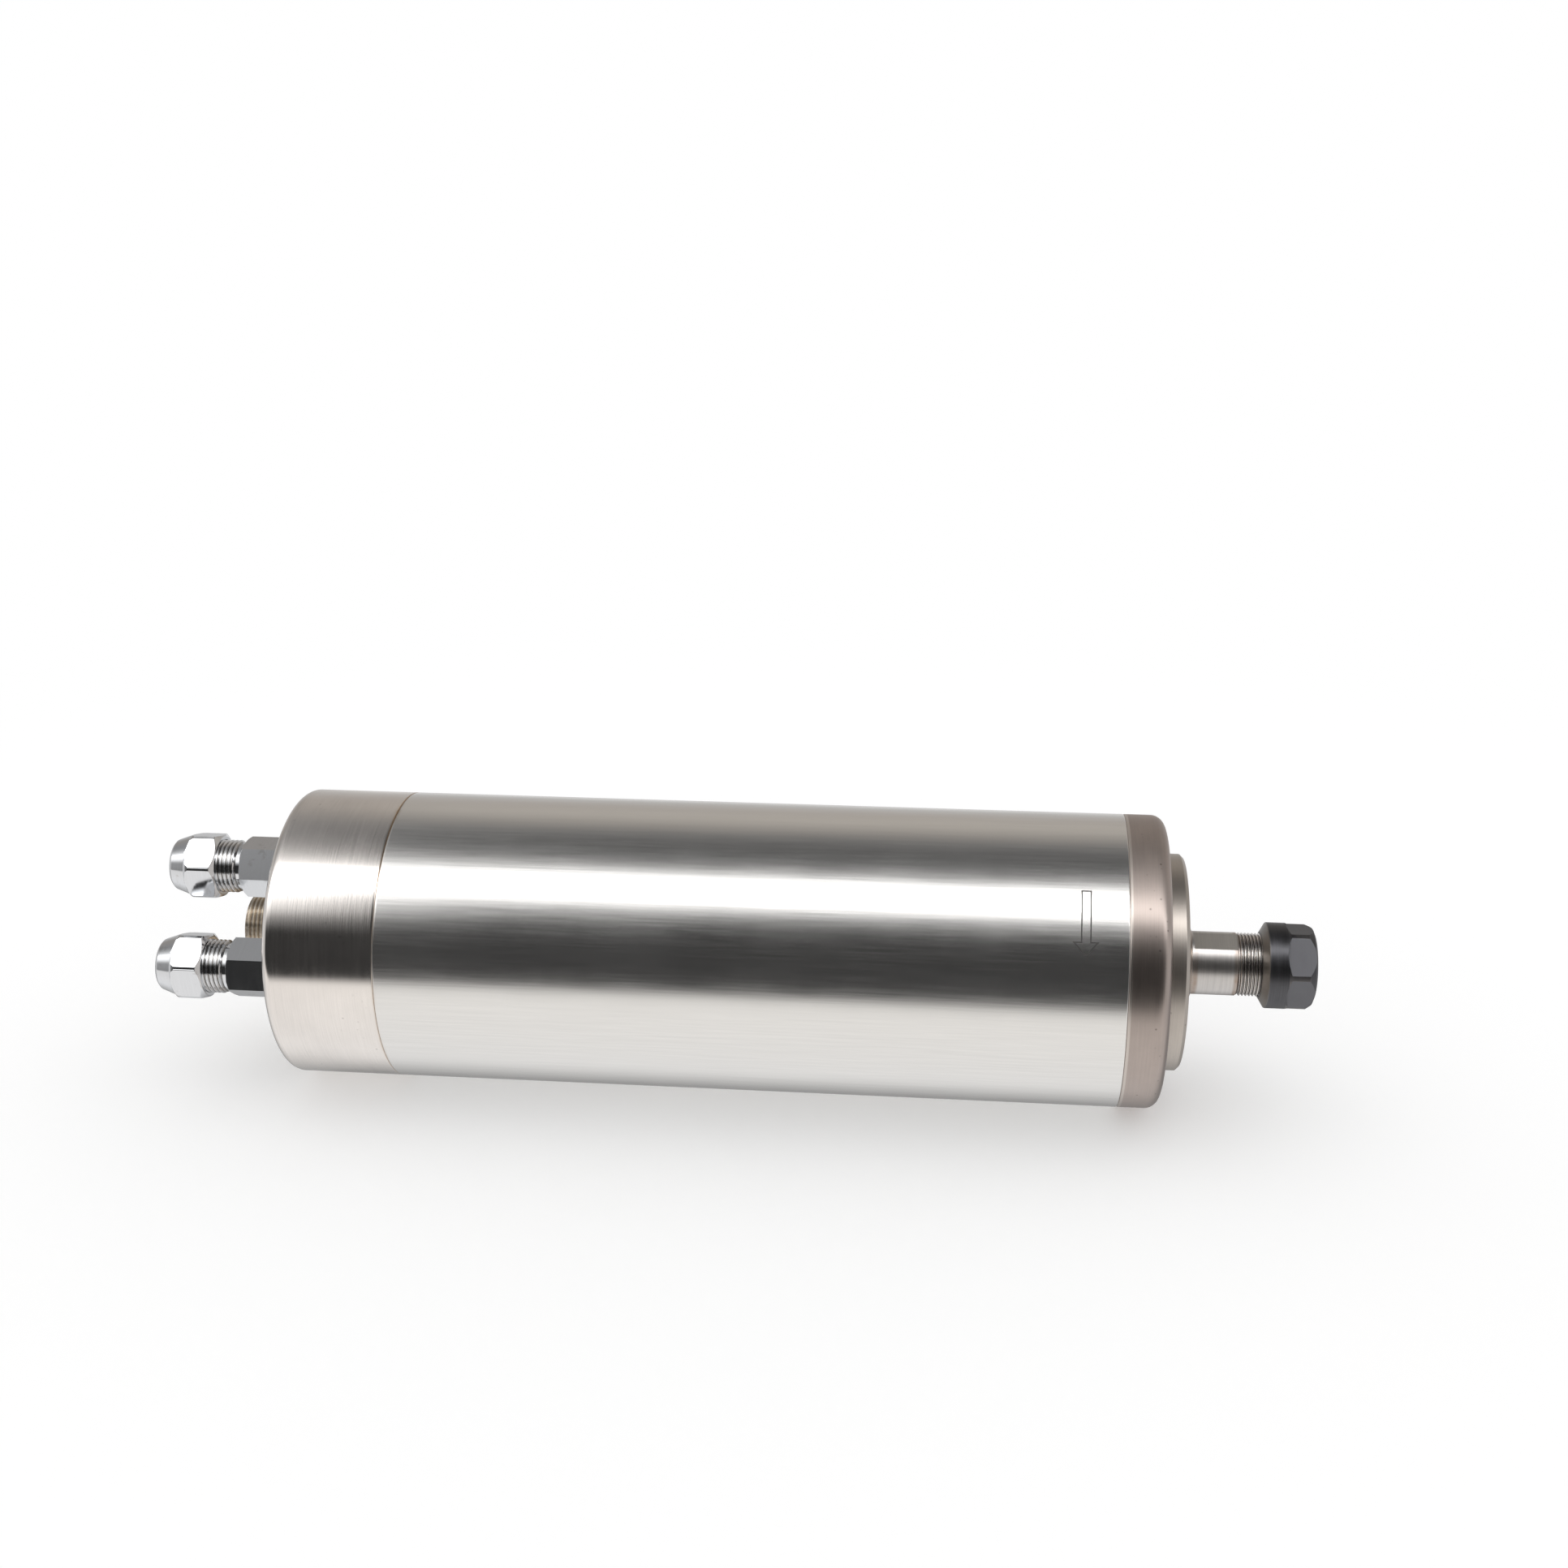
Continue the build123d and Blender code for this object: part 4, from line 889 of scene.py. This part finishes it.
rear_mesh = turned("rear_end", [
    (REAR, 0.0), (REAR, TUBE_R, 2.0), (REAR_SEAM, TUBE_R, 0.25), (REAR_SEAM, TUBE_BORE, 0)],
    [(REAR_SEAM, SPIGOT_R), (-97.0, SPIGOT_R), (-97.0, 0.0)], columns=FINE_COLUMNS)
counterbore = drill(REAR - 1.0, REAR + 2.6, 2.35, (REAR_CIRCLE, 0.0), 48)
holes = [drill(REAR - 1.0, -90.0, radius, place, 96) for place, radius in (
    (PORT_PLACES["a"], 5.05), (PORT_PLACES["b"], 5.05), (SOCKET_PLACE, 8.05))]
rear_mesh = edged(carved(rear_mesh, ring_of(counterbore, finish="rear", **REAR_SCREWS), *holes))
new_piece("rear_end", rear_mesh, "rear", "housing", "rear_cap", slot="rear_cap_metal")

front_mesh = turned("front_end", [
    (FRONT_SEAM, 16.1, 0), (FRONT_SEAM, TUBE_R, 0.3), (COVER_BACK, TUBE_R, 3.0),
    (COVER_BACK, 16.1, 0)], columns=FINE_COLUMNS)
new_piece("front_end", edged(front_mesh), "front", "housing", "front_cap", slot="front_cap_metal")
print("casing faces:", len(tube_mesh.polygons), len(rear_mesh.polygons), len(front_mesh.polygons))

# %% [markdown]
# The bearing cover is a flange with a low cone in its middle. Its four countersunk screws sit
# flush, and each head is a small cone with a six-sided socket. The hole is the same cone.

# %% Bearing cover and its screws
COVER_FACE = 93.8
COVER_SCREWS = dict(number=4, first_angle=45.0)
SCREW_CIRCLE = 19.0
cover_mesh = turned("cover", [(COVER_BACK, 8.3, 0), (COVER_BACK, 24.0, 0.1), (93.0, 24.0, 0.2),
                              (COVER_FACE, 23.2, 0.2), (COVER_FACE, 12.5, 0.3), (95.5, 9.6, 0.3),
                              (95.5, 8.3, 0.1)], columns=192)
sink = turned("countersink", [
    (COVER_FACE - 8.0, 0.0), (COVER_FACE - 8.0, 2.15), (COVER_FACE - 1.75, 2.15),
    (COVER_FACE + 0.1, 4.0), (COVER_FACE + 0.1, 0.0)],
    centre=(SCREW_CIRCLE, 0.0), ease=0.0, columns=64)
cover_mesh = carved(cover_mesh, ring_of(sink, finish="cover", **COVER_SCREWS))
new_piece("cover", edged(cover_mesh), "cover", "housing", "front_bearing_cover",
          slot="front_cap_metal")
screw = turned("cover_screw", [
    (82.8, 0.0), (82.8, 2.0, 0.2), (COVER_FACE - 1.8, 2.0, 0), (COVER_FACE - 0.1, 3.75, 0.1),
    (COVER_FACE - 0.05, 3.6, 0), (COVER_FACE - 0.05, 0.0)],
    centre=(SCREW_CIRCLE, 0.0), columns=64)
screw = carved(screw, drill(COVER_FACE - 1.3, COVER_FACE + 1.0, 1.25 / COS_30,
                            (SCREW_CIRCLE, 0.0), 6))
new_piece("cover_screw_heads", edged(ring_of(screw, finish="blacked", **COVER_SCREWS)), "blacked",
          "housing", "cover_screws", slot="black_oxide")

cap_screw = turned("rear_screw", [
    (REAR + 0.1, 0.0), (REAR + 0.1, 2.25, 0.3), (REAR + 2.6, 2.25, 0), (REAR + 2.6, 1.25, 0),
    (-73.5, 1.25, 0.2), (-73.5, 0.0)], centre=(REAR_CIRCLE, 0.0), columns=48)
cap_screw = carved(cap_screw, drill(REAR - 1.0, REAR + 1.4, 1.0 / COS_30, (REAR_CIRCLE, 0.0), 6))
new_piece("rear_screw_heads", edged(ring_of(cap_screw, finish="screw", **REAR_SCREWS)), "screw",
          "housing", "rear_cap_screws", slot="screw_steel")
print("screws:", COVER_SCREWS["number"] + REAR_SCREWS["number"])

# %% [markdown]
# The nose is a ground shaft with a thread for the closing nut, wound on a core as thick as its
# root. A wrench holds the shaft by two flats behind it, where rubbing has browned both ends.

# %% Shaft
FLAT_ANGLE, FLAT_HALF = 111.0, 6.5
shaft_core = turned("shaft", [
    (-85.5, 0.0), (-85.5, 6.0, 0.5), (-73.5, 6.0, 0), (-73.5, 7.8, 0.2), (-53.0, 7.8, 0),
    (-53.0, 8.5, 0), (60.5, 8.5, 0), (60.5, 9.4, 0.2), (71.5, 9.4, 0.2), (71.5, 7.5, 0),
    (COVER_BACK, 7.5, 0), (COVER_BACK, CREST, 0), (105.9, CREST, 0.15), (106.1, CORE, 0),
    (117.0, CORE, 0.2), (117.3, 6.3, 0)],
    [(117.3, 5.54), (106.36, 4.0), (88.3, 4.0), (86.3, 0.0)], ease=0.1)
flat_blocks = [block((96.5, FLAT_HALF, -9.0), (106.0, 12.0, 9.0), FLAT_ANGLE + half_turn)
               for half_turn in (0.0, 180.0)]
shaft_planes = around(FLAT_ANGLE, FLAT_HALF, 2)
shaft_mesh = finished(edged(carved(shaft_core, *flat_blocks), shaft_planes), "shaft",
                      "shaft_flat", shaft_planes)
nose_thread = thread("nose_thread", 106.0, 117.25, 0.75, CREST, CORE, "shaft_thread")
new_piece("shaft", with_thread(shaft_mesh, nose_thread, "shaft"), None, "rotor", "shaft",
          slot="ground_steel", broken_edge=BROKEN_EDGE)
ring_mesh = turned("dust_ring", [(COVER_BACK, 7.05, 0), (COVER_BACK, 8.0, 0.05),
                                 (RING_FRONT, 8.0, 0.5), (RING_FRONT, 7.05, 0.1)])
new_piece("dust_ring_piece", edged(ring_mesh), "ring", "rotor", "dust_ring", slot="polished_steel")
print("thread faces:", len(nose_thread.polygons))

# %% [markdown]
# The nut that closes the collet is a round skirt with a hexagon in front. It is turned to the
# skirt's width first. Then a big end mill cuts six flats from the front, which leaves narrow lands
# on the corners and a curved end on each flat. Its black finish is worn pale along the edges.

# %% Collet nut
NUT_BACK, NUT_FACE = 111.1, 122.9
NUT_TURN, NUT_HALF = 145.5, 8.5
nut_mesh = turned("collet_nut", [
    (NUT_BACK, 7.05, 0), (NUT_BACK, 7.3, 0.15), (112.4, 9.5, 0.3), (121.1, 9.5, 0.15),
    (122.4, 8.6, 0.2), (NUT_FACE, 7.4, 0.3), (NUT_FACE, 4.95, 0.15)],
    [(122.7, 5.05, 0), (120.9, 6.0, 0), (119.83, 6.0, 0), (119.83, 5.0, 0), (118.33, 5.0, 0),
     (118.33, 7.05, 0)])
nut_flats = [round_ended_flat(116.3, 130.0, NUT_HALF, NUT_TURN + 60.0 * k) for k in range(6)]
nut_planes = around(NUT_TURN, NUT_HALF, 6)
nut_mesh = finished(edged(carved(nut_mesh, *nut_flats), nut_planes), "oxide", "oxide_flat",
                    nut_planes)
new_piece("closing_nut", nut_mesh, None, "nut", "collet_nut", slot="black_oxide",
          broken_edge=BROKEN_EDGE)
print("nut flats:", len(nut_flats))

# %% [markdown]
# Each hose fitting is a plated body with a hexagon for the wrench, a neck and a thread, and a nut
# that squeezes a ring onto the hose. The two are alike and differ only in their place and in how
# far they were turned home, so one loop makes both.

# %% Hose fittings
PORT_TURNS = {"a": (156.3, 138.0), "b": (176.0, 134.6)}
BODY_HALF, HOSE_NUT_HALF = 6.0, 7.0


def behind(*points):
    """A profile measured from the rear face backwards, turned round to run along +X."""
    return [(REAR - point[0], *point[1:]) for point in reversed(points)]


for letter, port in PORT_PLACES.items():
    body_turn, nut_turn = PORT_TURNS[letter]
    body_mesh = turned("fitting_" + letter, behind(
        (-8.0, 5.0, 0.3), (1.0, 5.0, 0), (1.0, 6.5, 0.2), (1.4, 7.1, 0.1), (11.2, 7.1, 0.1),
        (11.8, 6.2, 0.2), (11.8, 5.3, 0.2), (13.0, 5.3, 0), (13.0, 5.4, 0), (22.1, 5.4, 0.1),
        (22.3, 5.25, 0)),
        [(REAR + 8.0, 3.0), (REAR - 14.0, 3.0), (REAR - 14.0, 4.15), (REAR - 20.9, 4.15)],
        centre=port, ease=0.1)
    hexagon = hexagon_cutter(REAR - 12.0, REAR - 0.9, BODY_HALF, body_turn, port)
    body_mesh = edged(carved(body_mesh, hexagon), around(body_turn, BODY_HALF, 6, port))
    body_mesh = finished(body_mesh, "chrome")
    ridge = thread("hose_thread", REAR - 22.25, REAR - 12.9, 1.0, 6.0, 5.4,
                   "thread_" + letter, port)
    new_piece("screwed_fitting_" + letter, with_thread(body_mesh, ridge, "fitting_" + letter), None,
              "housing", "fitting_body_" + letter, slot="plated_chrome", broken_edge=BROKEN_EDGE)

    nut_mesh = turned("hose_nut_" + letter, behind(
        (17.3, 6.05, 0), (17.3, 6.7, 0.2), (18.2, 7.85, 0.2), (23.1, 7.85, 0.5), (23.9, 7.6, 0.4),
        (24.25, 7.05, 0.6), (27.9, 5.75, 0.6), (28.4, 5.2, 0.3), (28.4, 4.15, 0.2)),
        [(REAR - 17.3, 6.05), (REAR - 23.1, 6.05), (REAR - 23.1, 5.35), (REAR - 26.2, 5.35),
         (REAR - 27.0, 4.15)], centre=port)
    hexagon = hexagon_cutter(REAR - 30.0, REAR - 15.0, HOSE_NUT_HALF, nut_turn, port)
    nut_mesh = edged(carved(nut_mesh, hexagon), around(nut_turn, HOSE_NUT_HALF, 6, port))
    new_piece("nut_on_hose_" + letter, nut_mesh, "chrome", "hose_nut_" + letter,
              "hose_nut_" + letter, slot="plated_chrome", broken_edge=BROKEN_EDGE)
print("fittings:", len(PORT_PLACES))

# %% [markdown]
# The connector takes the power lead. Its shell is a thin-walled cup with a thread outside, cut
# flat on two sides so that it can't turn in its hole. Inside stand four pins and a key that lets
# the plug in only one way round.

# %% Connector
shell_mesh = turned("connector", behind(
    (-10.0, 7.4, 0.3), (0.8, 7.4, 0), (0.8, 9.5, 0.2), (3.8, 9.5, 0.3), (3.8, 7.4, 0),
    (5.4, 7.4, 0), (18.4, 7.4, 0.1), (18.5, 7.3, 0)),
    [(REAR + 10.0, 6.0), (REAR - 3.5, 6.0), (REAR - 3.5, 6.8), (REAR - 18.5, 6.8)],
    centre=SOCKET_PLACE, ease=0.1)
key = block((REAR - 17.5, 5.8, -0.8), (REAR - 9.5, 7.1, 0.8), 45.0, SOCKET_PLACE)
shell_mesh = finished(edged(carved(shell_mesh, key, operation="UNION")), "brass")
SHELL_FLATS = dict(flat=7.725, flat_angle=211.0)
ridge = thread("connector_thread", REAR - 18.45, REAR - 5.3, 1.0, 8.0, 7.4, "brass",
               SOCKET_PLACE, **SHELL_FLATS)
new_piece("connector", with_thread(shell_mesh, ridge, "connector"), None, "housing",
          "connector_shell", slot="nickel_brass")
PIN_CIRCLE, PINS = 3.3, 4
pin = turned("pin", [(-122.0, 0.0), (-122.0, 0.95, 0.3), (-103.0, 0.95, 0.1), (-103.0, 0.0)],
             centre=(PIN_CIRCLE, 0.0), columns=24)
new_piece("connector_contacts", edged(ring_of(pin, PINS, 0.0, "contact", SOCKET_PLACE)), "contact",
          "housing", "connector_pins", slot="contact_brass")
print("contacts:", PINS)

# %% [markdown]
# What is left to see is small: the collet's face, the hose rings, washers, gasket and insulator.
# A welded and smoothed copy of the drawn piece is enough for them.

# %% Smooth copies
COPIES = {
    "collet": ("collet", "ground_steel"),
    "ferrule_a": ("ferrule_a", "ferrule_brass"),
    "ferrule_b": ("ferrule_b", "ferrule_brass"),
    "fitting_washer_a": ("housing", "seal_rubber"),
    "fitting_washer_b": ("housing", "seal_rubber"),
    "connector_gasket": ("housing", "seal_rubber"),
    "connector_insert": ("housing", "insulator_black"),
}
for node_name, (body, slot_name) in COPIES.items():
    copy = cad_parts[node_name].data.copy()
    copy.name = "smooth_" + node_name
    new_piece(copy.name, edged(copy, sharp=30.0), SLOT_FINISH[slot_name], body, node_name,
              slot=slot_name)
print(len(COPIES), "smooth copies")

# %% [markdown]
# A hollow arrow is etched on the tube near the nose, to show which way the shaft turns. Its
# outline is laid out flat and then bent onto the surface, as a thin band with a little height.

# %% Turning arrow
ARROW = ((70.5, 47.0), (72.4, 47.0), (72.4, 27.2), (73.9, 27.2), (71.4, 22.3), (68.9, 27.2),
         (70.5, 27.2))
ARROW_LINE, ARROW_STEP = 0.26, 0.6
ARROW_FOOT, ARROW_TOP = -0.02, 0.012
around_mm = math.radians(1.0) * TUBE_R
flat_arrow = [Vector((x, a * around_mm)) for x, a in ARROW]


def offset_loop(points, distance):
    """A closed outline moved sideways, with mitred corners."""
    out = []
    for i, here in enumerate(points):
        back = (here - points[i - 1]).normalized()
        on = (points[(i + 1) % len(points)] - here).normalized()
        sides = Vector((back.y, -back.x)), Vector((on.y, -on.x))
        out.append(here + (sides[0] + sides[1]) * distance / (1.0 + sides[0].dot(sides[1])))
    return out


bm = bmesh.new()
loops = [offset_loop(flat_arrow, side * ARROW_LINE / 2) for side in (1.0, -1.0)]
sections = []
for start in range(len(flat_arrow)):
    following = (start + 1) % len(flat_arrow)
    steps = max(1, math.ceil((flat_arrow[following] - flat_arrow[start]).length / ARROW_STEP))
    for step in range(steps):
        t = step / steps
        section = []
        for loop, rise in ((loops[0], ARROW_FOOT), (loops[0], ARROW_TOP),
                           (loops[1], ARROW_TOP), (loops[1], ARROW_FOOT)):
            point = loop[start].lerp(loop[following], t)
            turn_here = point.y / TUBE_R
            r = (TUBE_R + rise) * MM
            section.append(bm.verts.new((point.x * MM, -r * math.cos(turn_here),
                                         r * math.sin(turn_here))))
        sections.append(section)
skinned(bm, sections)
new_piece("turning_arrow", as_mesh(bm, "turning_arrow"), "etch", "housing", slot="tube_steel")
print("arrow sections:", len(sections))
